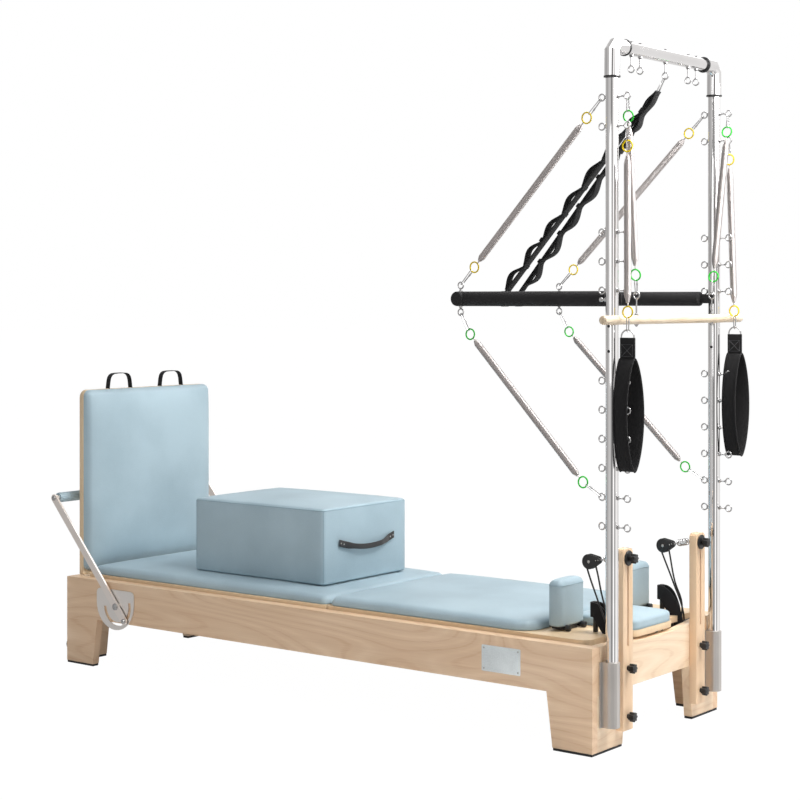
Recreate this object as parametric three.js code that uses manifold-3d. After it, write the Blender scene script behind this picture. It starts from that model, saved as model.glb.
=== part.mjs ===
// Pilates reformer with a half-trapeze tower, mat insert, jump board and sitting box.
// Millimetres. +X runs to the tower end, +Y to the far side, +Z is up.
import * as THREE from 'three';
import { mergeVertices } from 'three/addons/utils/BufferGeometryUtils.js';
import Module from 'manifold-3d';

const wasm = await Module();
wasm.setup();

// Driving dimensions. The head end face of the frame is x = 0 and the floor is z = 0.
const clear = 0.3;
const overrun = 2;
const weld = 1e-4;
const frame = { length: 2357, width: 806, top: 330, railDepth: 150, railWall: 45, legWall: 30,
  legFoot: 144, legTop: 166, endFoot: 178, endTop: 198, endWall: 30, archDrop: 19,
  grooveIn: 300, grooveOut: 325, grooveDeep: 12, grooveLow: 284 };
const sole = { height: 8, inset: 1 };
const track = { web: 3, low: 240, ledge: 40, ledgeWall: 4, seat: 14, seatWall: 4, endGap: 3 };
const deck = { wall: 20, gap: 8, headGap: 15, sideGap: 1, corner: 40, footCorner: 3 };
const slit = { x: -1095, gap: 8 };
const pad = { wall: 42, inset: 7, corner: 26, edge: 14, crown: 5, draw: 2, headStep: 262,
  headCorner: 75 };
const roller = { radius: 22, wall: 16, axle: 4, bearing: 0.5, lugWall: 10, lugGap: 2, lugHalf: 16,
  inset: 120 };
const rest = { length: 54, width: 146, height: 150, gap: 14, inner: 138, back: 188, corner: 18, edge: 16,
  crown: 6, draw: 3, footLength: 44, footWidth: 60, pegRadius: 6, pegReach: 12 };
const headrest = { length: 240, width: 260, head: 12, padWall: 43, padBack: 12, padInset: 3, corner: 34,
  backCorner: 8, edge: 12, crown: 7, draw: 2, barrel: 4, barrelHalf: 40, barrelBack: 3, gap: 4, back: 10,
  tongueHalf: 60, tongueWall: 14, tongueBack: 40 };
const peg = { radius: 7, height: 96, x: -105, inward: 23 };
const jump = { width: 680, wall: 22, padWall: 50, top: 1043, padLow: 14, corner: 26, edge: 46, crown: 8,
  draw: 3, lowCorner: 3, prong: 30, prongWall: 6, prongDrop: 70, prongInset: 150, webHalf: 64, webRise: 62,
  webWall: 3, webWidth: 24, webAt: 142, webCorner: 14, webOuterShare: 1.6, webInnerShare: 1.5 };
const matGap = 5;
const box = { length: 632, width: 478, height: 282, headGap: 106, corner: 14, edge: 9, crown: 9, draw: 3,
  handleHalf: 158, handleHeight: 25, handleWall: 4, handleRise: 142, handleSag: 20, handleStand: 18,
  handleLiftShare: 1.6, handleEdgeShare: 0.9 };
const footbar = { pivotIn: 282, pivotZ: 243, tipOut: 59, tipZ: 627, tail: 66, armWidth: 28, armWall: 8,
  coreRadius: 11, padRadius: 19, padGap: 14, pinRadius: 5, pivotRadius: 7, hubRadius: 14, hubWall: 3 };
const plate = { wall: 4, half: 100, top: 304, radius: 100, drop: 10, shift: -12, corner: 18, slotWidth: 13,
  slotFromShare: 1.02, slotToShare: 1.045 };
const wheel = { radius: 22, wall: 18, axle: 4, bearing: 0.4, out: 26, z: 58, inset: 45, lugWall: 3,
  lugGap: 1.5, lugHalf: 9 };
const springBar = { inset: 162, radius: 12, z: 292, hooks: 4, hookPitch: 110, hookRadius: 5,
  hookRise: 17 };
const post = { x: 26, inset: 73, radius: 20, foot: 84, sides: 12, top: 2106 };
const cross = { z: 2172, radius: 20, sleeve: 24, vertical: 94, horizontal: 72, ringWall: 4,
  ringProud: 2.5, mitre: 18 };
const sleeve = { low: 82, high: 283, wall: 4, flange: 11, screw: 3, screwProud: 1.5,
  screwInset: 18 };
const eye = { radius: 10.5, wire: 2.4, shank: 2.6, nut: 5.5, nutWall: 4, right: 54, left: 36, drop: 62 };
const levels = { lower: 696, lowerCount: 6, middle: 1420, middleCount: 3, upper: 1924, upperCount: 2,
  pitch: 89.4 };
const crossEyes = [-214, -160, 0, 150, 204];
const pushBar = { z: 1395, x: -568, inset: 105, radius: 24, core: 13, foamGap: 8, overhang: 27, rim: 6,
  tabWall: 6, tabHalf: 15, pin: 6, armEnd: 8, eyeRise: 44 };
const rollBar = { x: 62, z: 1330, radius: 14, overhang: 44, eyeInset: 85, eyeRise: 76, nutDrop: 8 };
const coil = { radius: 11.6, cone: 30, neck: 5, wire: 1.7, ring: 17, ringWire: 2.3, link: 64,
  shortLink: 46, linkHalf: 5.4, linkGap: 0.7, slantGap: 1.8, loopGap: 0.1, linkWire: 1.6, hook: 10,
  bite: 0.8, sag: 22 };
const loop = { nearX: 98, farX: 88, outward: 29, top: 1276, low: 868, half: 50, wall: 4, width: 52, tab: 62,
  tabHalf: 4, dRing: 22, dWire: 2.3, lowShare: 0.03, swellShare: 0.94, fullShare: 0.6, steps: 10 };
const daisy = { half: 42, topHalf: 20, band: 4, width: 32, loops: 6, loopSteps: 4, bulge: 25, strand: 3,
  shift: 22, gather: 174, gatherWidth: 32, gatherHalf: 22, foldShares: [0.45, 1, 0.32, 0.55, 0.2],
  wrap: 4, ahead: 9, topBack: 26, topDrop: 45 };
const riser = { wall: 26, width: 58, inset: 95, low: 56, high: 620, corner: 16, lowCorner: 2, slotLow: 315,
  slotHigh: 602, slot: 8 };
const knob = { stem: 8, radius: 15, lobes: 5, facets: 3, lobe: 4.5, wall: 18, stemRadius: 8, lowerZ: 99,
  upperZ: 249 };
const height = { z: 590, disc: 24, discWall: 6, bolt: 3.6, reach: 10, eye: 4.2, wire: 1.6, collar: 7,
  collarWall: 3 };
const pulley = { x: -112, z: 567, radius: 24, core: 12.5, cheek: 3, gap: 12, tail: 50, tailHalf: 6,
  eye: 4.2, wire: 1.6, capShare: 0.75, knotShare: 1.5, farShare: 1.6, nearShare: 0.8,
  besideShare: 0.75 };
const curl = { radius: 8, wire: 1.1, turns: 6, steps: 8, sides: 5, stand: 3, endShare: 0.35 };
const rope = { radius: 2.8, x: -40.5, z: 348, footX: -38, low: 302, lead: 30, apart: 5, sides: 6 };
const webbing = { wall: 4, width: 38, low: 352, high: 405, tailX: -40, farX: -122, spread: 15, lift: 0.7,
  reach: 1.3, steps: 6, turnShare: 0.14, tight: 0.1, narrow: 0.25, openRate: 2 };

const halfWidth = frame.width / 2;
const railLow = frame.top - frame.railDepth;
const railInner = halfWidth - frame.railWall;
const soleTop = sole.height;
const padTop = frame.top + deck.wall - deck.gap + pad.wall;
const deckTop = frame.top + deck.wall - deck.gap;
const deckLow = deckTop - deck.wall;
const deckHalf = railInner - deck.sideGap;
const postY = halfWidth - post.inset;
const riserY = postY - riser.inset;
const pegY = riserY - peg.inward;
const loopY = postY + loop.outward;
const barY = halfWidth - pushBar.inset;
const rollEyeY = postY - rollBar.eyeInset;
const pivotX = -frame.length + footbar.pivotIn;
const tipX = -frame.length - footbar.tipOut;
const springBarX = -frame.length + springBar.inset;
const sides = [['near', -1], ['far', 1]];

const finish = {
  wood: new THREE.MeshStandardMaterial({ color: 0xe2c4a2, roughness: 0.5 }),
  bareWood: new THREE.MeshStandardMaterial({ color: 0xe8cfa9, roughness: 0.55 }),
  vinyl: new THREE.MeshStandardMaterial({ color: 0x9db4c0, roughness: 0.48 }),
  chrome: new THREE.MeshStandardMaterial({ color: 0xd8dadd, roughness: 0.12, metalness: 1 }),
  steel: new THREE.MeshStandardMaterial({ color: 0xb9b7b4, roughness: 0.35, metalness: 0.9 }),
  alloy: new THREE.MeshStandardMaterial({ color: 0xaeadab, roughness: 0.4, metalness: 0.8 }),
  black: new THREE.MeshStandardMaterial({ color: 0x1a1a1b, roughness: 0.5 }),
  web: new THREE.MeshStandardMaterial({ color: 0x202022, roughness: 0.85 }),
  rubber: new THREE.MeshStandardMaterial({ color: 0x151515, roughness: 0.8 }),
  spring: new THREE.MeshStandardMaterial({ color: 0xb4b1ae, roughness: 0.3, metalness: 0.9 }),
};

const model = new THREE.Group();

// Solids: each shape becomes a closed solid, which can be joined and cut.
function solid(geometry) {
  const bare = geometry.index ? geometry.toNonIndexed() : geometry.clone();
  bare.deleteAttribute('normal');
  bare.deleteAttribute('uv');
  const merged = mergeVertices(bare, weld);
  const points = merged.attributes.position.array;
  const faces = Uint32Array.from(merged.index.array);
  if (signedVolume(points, faces) < 0) flip(faces);
  return new wasm.Manifold(new wasm.Mesh({ numProp: 3, vertProperties: points, triVerts: faces }));
}

function signedVolume(points, faces) {
  const corner = (i) => new THREE.Vector3(points[3 * i], points[3 * i + 1], points[3 * i + 2]);
  let total = 0;
  for (let i = 0; i < faces.length; i += 3) {
    total += corner(faces[i]).dot(corner(faces[i + 1]).cross(corner(faces[i + 2])));
  }
  return total;
}

function flip(faces) {
  for (let i = 0; i < faces.length; i += 3) {
    [faces[i + 1], faces[i + 2]] = [faces[i + 2], faces[i + 1]];
  }
}

function join(list) {
  return list.reduce((whole, piece) => whole.add(piece));
}

function addNode(name, whole, material) {
  const cut = whole.getMesh();
  const geometry = new THREE.BufferGeometry();
  const points = Float32Array.from(cut.vertProperties);
  geometry.setAttribute('position', new THREE.BufferAttribute(points, cut.numProp));
  geometry.setIndex(new THREE.BufferAttribute(Uint32Array.from(cut.triVerts), 1));
  const mesh = new THREE.Mesh(geometry, material);
  mesh.name = name;
  model.add(mesh);
}

function vec(x, y, z) {
  return new THREE.Vector3(x, y, z);
}

function block(x0, x1, y0, y1, z0, z1) {
  const shape = new THREE.BoxGeometry(Math.abs(x1 - x0), Math.abs(y1 - y0), Math.abs(z1 - z0));
  shape.translate((x0 + x1) / 2, (y0 + y1) / 2, (z0 + z1) / 2);
  return solid(shape);
}

function place(geometry, from, to) {
  const along = to.clone().sub(from);
  const turn = new THREE.Quaternion().setFromUnitVectors(vec(0, 1, 0), along.clone().normalize());
  geometry.applyQuaternion(turn);
  const middle = from.clone().addScaledVector(along, 0.5);
  geometry.translate(middle.x, middle.y, middle.z);
  return geometry;
}

function rod(from, to, radius, facets = 8, endRadius = radius) {
  const shape = new THREE.CylinderGeometry(endRadius, radius, from.distanceTo(to), facets);
  return solid(place(shape, from, to));
}

// A ring of round wire whose hole looks along the given axis.
function ring(centre, axis, radius, wire, around = 7, facets = 3) {
  const shape = new THREE.TorusGeometry(radius, wire, facets, around);
  shape.applyQuaternion(new THREE.Quaternion().setFromUnitVectors(vec(0, 0, 1), axis));
  shape.translate(centre.x, centre.y, centre.z);
  return solid(shape);
}

function outline(points, holes = []) {
  const shape = new THREE.Shape(points.map(([a, b]) => new THREE.Vector2(a, b)));
  for (const hole of holes) shape.holes.push(new THREE.Path(hole.map(([a, b]) => new THREE.Vector2(a, b))));
  return shape;
}

function extrude(shape, depth) {
  return new THREE.ExtrudeGeometry(shape, { depth, bevelEnabled: false, curveSegments: 6 });
}

// Boards drawn in the XZ plane and running from y0 to y1.
function boardXZ(points, y0, y1, holes) {
  const shape = extrude(outline(points, holes), y1 - y0);
  shape.rotateX(Math.PI / 2);
  shape.translate(0, y1, 0);
  return solid(shape);
}

// Boards drawn in the YZ plane and running from x0 to x1.
function boardYZ(points, x0, x1, holes) {
  const shape = extrude(outline(points, holes), x1 - x0);
  shape.applyMatrix4(new THREE.Matrix4().makeBasis(vec(0, 1, 0), vec(0, 0, 1), vec(1, 0, 0)));
  shape.translate(x0, 0, 0);
  return solid(shape);
}

function boardXY(points, z0, z1, holes) {
  const shape = extrude(outline(points, holes), z1 - z0);
  shape.translate(0, 0, z0);
  return solid(shape);
}

function arc(cx, cy, radius, from, to, steps) {
  const points = [];
  for (let i = 0; i <= steps; i += 1) {
    const angle = from + (to - from) * i / steps;
    points.push([cx + radius * Math.cos(angle), cy + radius * Math.sin(angle)]);
  }
  return points;
}

const quarter = Math.PI / 2;

// A rectangle with round corners: radii are given for x1y1, x0y1, x0y0 and x1y0.
function roundBox(x0, x1, y0, y1, radii, steps = 3) {
  const [a, b, c, d] = radii;
  return [
    ...arc(x1 - a, y1 - a, a, 0, quarter, steps),
    ...arc(x0 + b, y1 - b, b, quarter, 2 * quarter, steps),
    ...arc(x0 + c, y0 + c, c, 2 * quarter, 3 * quarter, steps),
    ...arc(x1 - d, y0 + d, d, 3 * quarter, 4 * quarter, steps),
  ];
}

// A skin over rings of points, closed by a fan at each end, or run round into itself.
function skin(rings, closed = false) {
  const count = rings[0].length;
  const points = rings.flat();
  const faces = [];
  const spans = closed ? rings.length : rings.length - 1;
  for (let r = 0; r < spans; r += 1) {
    const next = (r + 1) % rings.length;
    for (let i = 0; i < count; i += 1) {
      const j = (i + 1) % count;
      const [a, b, c, d] = [r * count + i, r * count + j, next * count + j, next * count + i];
      faces.push(a, b, c, a, c, d);
    }
  }
  if (!closed) {
    for (const [r, turned] of [[0, true], [rings.length - 1, false]]) {
      const middle = new THREE.Vector3();
      for (const point of rings[r]) middle.addScaledVector(point, 1 / count);
      points.push(middle);
      for (let i = 0; i < count; i += 1) {
        const pair = [r * count + i, r * count + (i + 1) % count];
        if (turned) pair.reverse();
        faces.push(points.length - 1, ...pair);
      }
    }
  }
  const shape = new THREE.BufferGeometry();
  const numbers = points.flatMap((p) => [p.x, p.y, p.z]);
  shape.setAttribute('position', new THREE.Float32BufferAttribute(numbers, 3));
  shape.setIndex(faces);
  return solid(shape);
}

function circle(centre, u, v, radius, facets) {
  const points = [];
  for (let i = 0; i < facets; i += 1) {
    const angle = 4 * quarter * i / facets;
    points.push(centre.clone().addScaledVector(u, radius * Math.cos(angle))
      .addScaledVector(v, radius * Math.sin(angle)));
  }
  return points;
}

// A direction that no tube here runs in, to start its section from.
const slant = new THREE.Vector3(0.31, 0.87, 0.38);

// A round tube along a list of points. The section is carried along without twist.
function tube(path, radius, facets, closed = false) {
  const last = path.length - 1;
  const heading = (i) => {
    const before = closed ? path[(i + last) % (last + 1)] : path[Math.max(i - 1, 0)];
    const after = closed ? path[(i + 1) % (last + 1)] : path[Math.min(i + 1, last)];
    return after.clone().sub(before).normalize();
  };
  let side = heading(0).cross(slant).normalize();
  const rings = path.map((point, i) => {
    const along = heading(i);
    side = side.clone().addScaledVector(along, -side.dot(along)).normalize();
    return circle(point, side, along.clone().cross(side), radius, facets);
  });
  return skin(rings, closed);
}

// Upholstery: rings of a rounded outline, bowed in between the corners, under a crown.
// Each row of the profile gives an inset as a share of the edge and a height as a share.
const padShares = [[0.5, 0], [0, 0.16], [0, 0.6], [0.22, 0.86], [0.9, 0.985]];
const softShares = [[0.1, 0], [0, 0.12], [0.12, 0.4], [0.45, 0.75], [1, 0.97]];
const crownShares = [[3, 0.55], [7, 1]];
const leastCornerShare = 0.15;
const flatShare = 0.8;

function cushionRing(half, radii, inset, draw) {
  const [hx, hy] = [half[0] - inset, half[1] - inset];
  const reduced = radii.map((r) => Math.max(r - inset, r * leastCornerShare));
  const points = roundBox(-hx, hx, -hy, hy, reduced);
  const bowed = [];
  points.forEach(([a, b], i) => {
    bowed.push([a, b]);
    const [c, d] = points[(i + 1) % points.length];
    if (Math.hypot(c - a, d - b) < Math.max(...reduced)) return;
    const [mx, my] = [(a + c) / 2, (b + d) / 2];
    const along = Math.abs(mx) > Math.abs(my) * hx / hy;
    const inward = along ? [-Math.sign(mx) * draw, 0] : [0, -Math.sign(my) * draw];
    bowed.push([mx + inward[0], my + inward[1]]);
  });
  return bowed;
}

function cushion(size, radii, edge, crown, draw, shares = padShares) {
  const [hx, hy] = [size[0] / 2, size[1] / 2];
  const rows = shares.map(([inset, share]) => [inset * edge, share * (size[2] - crown)]);
  const limit = Math.min(hx, hy) * flatShare;
  for (const [inset, share] of crownShares) {
    rows.push([Math.min(inset * edge, limit * share), size[2] - crown + crown * share]);
  }
  const rings = rows.map(([inset, z], r) => cushionRing([hx, hy], radii, inset, r === 2 ? draw : 0)
    .map(([a, b]) => vec(a, b, z)));
  return skin(rings);
}

// Turns a solid made lying flat so that its height runs along the given axis.
function stood(whole, xAxis, yAxis, zAxis, at) {
  const turn = new THREE.Matrix4().makeBasis(xAxis, yAxis, zAxis).setPosition(at);
  return whole.transform(turn.elements);
}

// Wooden frame: two side panels with their leg boards, and two end panels.
function sidePanel(s) {
  const [outer, inner] = [s * halfWidth, s * (halfWidth - frame.railWall)];
  const legInner = s * (halfWidth - frame.legWall);
  const low = soleTop + clear;
  const leg = (edge, dir) => boardXZ([
    [edge, low], [edge, railLow + overrun], [edge + dir * frame.legTop, railLow + overrun],
    [edge + dir * frame.legTop, railLow], [edge + dir * frame.legFoot, low]],
  Math.min(outer, legInner), Math.max(outer, legInner));
  return join([
    block(-frame.length, 0, outer, inner, railLow, frame.top),
    leg(0, -1), leg(-frame.length, 1)]);
}

function endOutline(top) {
  const post0 = halfWidth - frame.legWall - clear;
  const wide = railInner - clear;
  const low = soleTop + clear;
  const [foot, head] = [halfWidth - frame.endFoot, halfWidth - frame.endTop];
  const under = railLow - clear;
  return [
    [-post0, low], [-foot, low], [-head, railLow], [head, railLow], [foot, low], [post0, low],
    [post0, under], [wide, under], ...top(wide), [-wide, under], [-post0, under]];
}

function archTop(wide) {
  const points = [];
  const steps = 12;
  for (let i = 0; i <= steps; i += 1) {
    const t = 1 - 2 * i / steps;
    const inner = Math.min(1, Math.abs(t) * wide / frame.grooveIn);
    points.push([wide * t, frame.top - frame.archDrop * (1 - inner * inner)]);
  }
  return points;
}

function headPanel() {
  let panel = boardYZ(endOutline(archTop), -frame.endWall, 0);
  for (const s of [-1, 1]) {
    panel = panel.subtract(block(-frame.grooveDeep, overrun, s * frame.grooveIn, s * frame.grooveOut,
      frame.grooveLow, frame.top + overrun));
  }
  return panel;
}

function wheelY(s) {
  return s * (halfWidth - wheel.inset);
}

function footPanel() {
  const flat = (wide) => [[wide, frame.top], [-wide, frame.top]];
  const back = -frame.length;
  const list = [boardYZ(endOutline(flat), back, back + frame.endWall)];
  for (const [, s] of sides) {
    const y = wheelY(s);
    const reach = wheel.wall / 2 + wheel.lugGap;
    for (const d of [-1, 1]) {
      const [y0, y1] = [y + d * reach, y + d * (reach + wheel.lugWall)];
      list.push(block(back - wheel.out - wheel.lugHalf, back + overrun, y0, y1,
        wheel.z - wheel.lugHalf, wheel.z + wheel.lugHalf));
    }
    const from = vec(back - wheel.out, y - reach - wheel.lugWall / 2, wheel.z);
    list.push(rod(from, vec(from.x, y + reach + wheel.lugWall / 2, wheel.z), wheel.axle));
  }
  return join(list);
}

function transportWheel(s) {
  const [inner, outer, half] = [wheel.axle + wheel.bearing, wheel.radius, wheel.wall / 2];
  const chamfer = wheel.lugWall;
  const profile = [[inner, -half], [outer - chamfer, -half], [outer, -half + chamfer],
    [outer, half - chamfer], [outer - chamfer, half], [inner, half], [inner, -half]];
  const shape = new THREE.LatheGeometry(profile.map(([a, b]) => new THREE.Vector2(a, b)), 14);
  shape.translate(-frame.length - wheel.out, wheelY(s), wheel.z);
  return solid(shape);
}

// Rubber soles under the four corner legs, L-shaped like the boards above them.
function legSole(xEdge, dir, s) {
  const outer = s * (halfWidth - sole.inset);
  const x = xEdge + dir * sole.inset;
  const long = xEdge + dir * (frame.legFoot - sole.inset);
  const wide = s * (halfWidth - frame.endFoot + sole.inset);
  const board = [x + dir * (frame.endWall - sole.inset), s * (halfWidth - frame.legWall)];
  const points = [[x, outer], [long, outer], [long, board[1]], [board[0], board[1]], [board[0], wide],
    [x, wide]];
  return boardXY(points, 0, sole.height);
}

// Aluminium track screwed inside each side rail: rollers run on the ledge, boards lie on the seat.
function trackRail(s) {
  const wall = s * (railInner - clear);
  const x0 = -frame.length + frame.endWall + track.endGap;
  const x1 = -frame.endWall - track.endGap;
  const high = deckLow - clear;
  const web = wall - s * track.web;
  return join([
    block(x0, x1, wall, web, track.low, high),
    block(x0, x1, wall, wall - s * track.ledge, track.low, track.low + track.ledgeWall),
    block(x0, x1, wall, wall - s * track.seat, high - track.seatWall, high)]);
}

const carriageFoot = slit.x + slit.gap / 2;
const carriageHead = -frame.endWall - deck.headGap;
const trackLedge = track.low + track.ledgeWall;
const rollerZ = trackLedge + clear + roller.radius;
const rollerXs = [carriageFoot + roller.inset, carriageHead - roller.inset];
const rollerY = railInner - clear - track.web - (track.ledge - track.web) / 2;
const lugOuter = rollerY - roller.wall / 2 - roller.lugGap;

function carriageDeck() {
  const outlinePoints = roundBox(carriageFoot, carriageHead, -deckHalf, deckHalf,
    [deck.corner, deck.footCorner, deck.footCorner, deck.corner]);
  let board = boardXY(outlinePoints, deckLow, deckTop);
  for (const [, s] of sides) {
    for (const x of rollerXs) {
      board = board.add(block(x - roller.lugHalf, x + roller.lugHalf, s * lugOuter,
        s * (lugOuter - roller.lugWall), rollerZ - roller.lugHalf, deckLow + overrun));
      board = board.subtract(rod(vec(x, s * (lugOuter + overrun), rollerZ),
        vec(x, s * (lugOuter - roller.lugWall - overrun), rollerZ), roller.axle + roller.bearing));
    }
    const pegTop = vec(peg.x, s * pegY, deckTop + peg.height);
    board = board.add(rod(vec(peg.x, s * pegY, deckTop - overrun), pegTop, peg.radius));
    board = board.subtract(rod(vec(restX(), s * restY(), deckTop - rest.pegReach),
      vec(restX(), s * restY(), deckTop + overrun), rest.pegRadius + clear));
  }
  return headrestBay(board);
}

// A notch in the head end of the deck takes the headrest, which lies on a tongue below it.
function headrestBay(board) {
  const notch = headrestFoot() - headrest.back;
  const half = headrest.width / 2 + headrest.gap;
  const open = board.subtract(block(notch, overrun, -half, half, deckLow - overrun, deckTop + overrun));
  const [low, wide] = [deckLow - clear - headrest.tongueWall, headrest.tongueHalf];
  return join([open,
    block(notch - headrest.tongueBack, carriageHead, -wide, wide, low, deckLow - clear),
    block(notch - headrest.tongueBack, notch - overrun, -wide, wide, low + overrun, deckLow + overrun)]);
}

function rollerWheel(x, s) {
  const wheelFrom = vec(x, s * (rollerY - roller.wall / 2), rollerZ);
  const wheelTo = vec(x, s * (rollerY + roller.wall / 2), rollerZ);
  const axleEnd = vec(x, s * (lugOuter - roller.lugWall), rollerZ);
  return rod(wheelFrom, wheelTo, roller.radius, 14).add(rod(axleEnd, wheelTo, roller.axle));
}

const padHalf = deckHalf - pad.inset;

function carriagePad() {
  const x0 = carriageFoot;
  const x1 = -pad.headStep;
  const whole = cushion([x1 - x0, 2 * padHalf, pad.wall],
    [pad.headCorner, pad.corner, pad.corner, pad.headCorner], pad.edge, pad.crown, pad.draw);
  return whole.translate([(x0 + x1) / 2, 0, deckTop + clear]);
}

const matFoot = jumpFront() + matGap;
const matHead = slit.x - slit.gap / 2;
const boxX = matHead - box.headGap - box.length / 2;

function jumpBack() {
  return -frame.length;
}

function jumpFront() {
  return jumpBack() + jump.wall + clear + jump.padWall;
}

function matBoard() {
  return block(matFoot, matHead, -deckHalf, deckHalf, deckLow, deckTop);
}

function matInsert() {
  const whole = cushion([matHead - matFoot, 2 * padHalf, pad.wall],
    [pad.corner, pad.corner, pad.corner, pad.corner], pad.edge, pad.crown, pad.draw);
  return matBoard().add(whole.translate([(matHead + matFoot) / 2, 0, deckTop - clear]));
}

// Shoulder rests stand on small feet whose pegs drop into the deck.
function restX() {
  return -rest.back - rest.length / 2;
}

function restY() {
  return rest.inner + rest.width / 2;
}

function shoulderRest(s) {
  const low = deckTop + rest.gap;
  const block0 = cushion([rest.length, rest.width, rest.height],
    [rest.corner, rest.corner, rest.corner, rest.corner], rest.edge, rest.crown, rest.draw)
    .translate([restX(), s * restY(), low]);
  const [fx, fy] = [rest.footLength / 2, rest.footWidth / 2];
  const foot = block(restX() - fx, restX() + fx, s * restY() - fy, s * restY() + fy, deckTop + clear,
    low + overrun);
  const peg0 = rod(vec(restX(), s * restY(), deckTop - rest.pegReach + clear),
    vec(restX(), s * restY(), low), rest.pegRadius);
  return join([block0, foot, peg0]);
}

// The headrest is a plywood flap with a pad, hinged at the edge away from the tower.
function headrestFoot() {
  return -headrest.head - headrest.length;
}

function headrestUnit() {
  const [x0, x1] = [headrestFoot(), -headrest.head];
  const half = headrest.width / 2;
  const { corner, backCorner, padBack, padInset } = headrest;
  const flap = roundBox(x0, x1, -half, half, [corner, backCorner, backCorner, corner]);
  const wood = boardXY(flap, deckLow, deckTop);
  const [p0, p1] = [x0 + padBack, x1 - padInset];
  const top = cushion([p1 - p0, headrest.width - 2 * padInset, headrest.padWall + overrun],
    [corner, backCorner, backCorner, corner], headrest.edge, headrest.crown, headrest.draw)
    .translate([(p0 + p1) / 2, 0, deckTop - overrun]);
  const [x, z] = [x0 - headrest.barrelBack, deckTop - headrest.barrel];
  const barrel = rod(vec(x, -headrest.barrelHalf, z), vec(x, headrest.barrelHalf, z), headrest.barrel);
  return join([wood, top, barrel]);
}

// Jump board: a ply panel standing on the foot end panel, two steel prongs and two webbing handles.
function jumpBoard() {
  const x0 = jumpBack();
  const x1 = x0 + jump.wall;
  const half = jump.width / 2;
  const low = frame.top + clear;
  const radii = [jump.corner, jump.corner, jump.lowCorner, jump.lowCorner];
  const list = [boardYZ(roundBox(-half, half, low, jump.top, radii), x0, x1)];
  const inner = -frame.length + frame.endWall + clear;
  for (const [, s] of sides) {
    const y = s * (half - jump.prongInset);
    const [y0, y1] = [y - jump.prong / 2, y + jump.prong / 2];
    const high = low + jump.padLow - overrun;
    list.push(block(x1 - overrun, inner + jump.prongWall, y0, y1, low, high));
    list.push(block(inner, inner + jump.prongWall, y0, y1, low - jump.prongDrop, high));
    list.push(webHandle(s * jump.webAt, (x0 + x1) / 2));
  }
  return join(list);
}

function webHandle(y, x) {
  const [z0, z1] = [jump.top - overrun, jump.top + jump.webRise];
  const [out, inn] = [jump.webHalf, jump.webHalf - jump.webWall];
  const slope = jump.webCorner;
  const [flatOut, flatInn] = [out - slope * jump.webOuterShare, inn - slope * jump.webInnerShare];
  const [zIn, bendZ] = [z1 - jump.webWall, z1 - slope];
  const bendIn = bendZ - jump.webWall / 2;
  const outside = [[out, z0], [out - slope / 2, bendZ], [flatOut, z1]];
  const inside = [[inn, z0], [inn - slope / 2, bendIn], [flatInn, zIn]];
  const mirrored = (list) => list.map(([a, b]) => [-a, b]);
  const points = [...outside, ...mirrored(outside).reverse(), ...mirrored(inside), ...inside.reverse()];
  const halfWeb = jump.webWidth / 2 - overrun;
  return boardYZ(points.map(([a, b]) => [y + a, b]), x - halfWeb, x + halfWeb);
}

function jumpPad() {
  const low = frame.top + clear + jump.padLow;
  const tall = jump.top - low;
  const whole = cushion([tall, jump.width, jump.padWall],
    [jump.corner, jump.corner, jump.corner, jump.corner], jump.edge, jump.crown, jump.draw, softShares);
  const at = vec(jumpBack() + jump.wall + clear, 0, low + tall / 2);
  return stood(whole, vec(0, 0, 1), vec(0, 1, 0).negate(), vec(1, 0, 0), at);
}

// Sitting box on the mat, and its leather handle on the end that faces the tower.
function sittingBox() {
  const whole = cushion([box.length, box.width, box.height],
    [box.corner, box.corner, box.corner, box.corner], box.edge, box.crown, box.draw);
  return whole.translate([boxX, 0, padTop]);
}

function boxHandle() {
  const face = boxX + box.length / 2 + clear;
  const mid = padTop + box.handleRise;
  const steps = 8;
  const rings = [];
  for (let i = 0; i <= steps; i += 1) {
    const t = 2 * i / steps - 1;
    const lift = 1 - t * t;
    const x = face + (box.handleStand - box.handleWall) * Math.min(1, lift * box.handleLiftShare);
    const z = mid - box.handleSag * lift;
    const y = box.handleHalf * t;
    const [h, w] = [box.handleHeight / 2, box.handleWall];
    const edge = h * box.handleEdgeShare;
    rings.push([vec(x, y, z - h), vec(x + w, y, z - edge), vec(x + w, y, z + edge), vec(x, y, z + h)]);
  }
  return skin(rings);
}

// Footbar: two flat arms outside the rails, a cross tube and its padded sleeve.
const armGap = halfWidth + clear + plate.wall + clear + footbar.hubWall;

function armLine() {
  return vec(tipX - pivotX, 0, footbar.tipZ - footbar.pivotZ).normalize();
}

function footbarArm(s) {
  const along = armLine();
  const reach = Math.hypot(tipX - pivotX, footbar.tipZ - footbar.pivotZ);
  const half = footbar.armWidth / 2;
  const points = [...arc(reach, 0, half, -quarter, quarter, 6),
    ...arc(-footbar.tail, 0, half, quarter, 3 * quarter, 6)];
  const across = vec(-along.z, 0, along.x);
  const placed = points.map(([a, b]) => [pivotX + along.x * a + across.x * b,
    footbar.pivotZ + along.z * a + across.z * b]);
  const [y0, y1] = [s * armGap, s * (armGap + footbar.armWall)];
  const arm = boardXZ(placed, Math.min(y0, y1), Math.max(y0, y1));
  const hubIn = s * (halfWidth + clear + plate.wall + clear);
  const hub = rod(vec(pivotX, hubIn, footbar.pivotZ), vec(pivotX, s * (armGap + overrun), footbar.pivotZ),
    footbar.hubRadius);
  const tail = vec(pivotX, 0, footbar.pivotZ).addScaledVector(along, -footbar.tail);
  const pin = rod(vec(tail.x, s * (halfWidth + 2 * clear), tail.z),
    vec(tail.x, s * (armGap + overrun), tail.z), footbar.pinRadius);
  return join([arm, hub, pin]);
}

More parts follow.
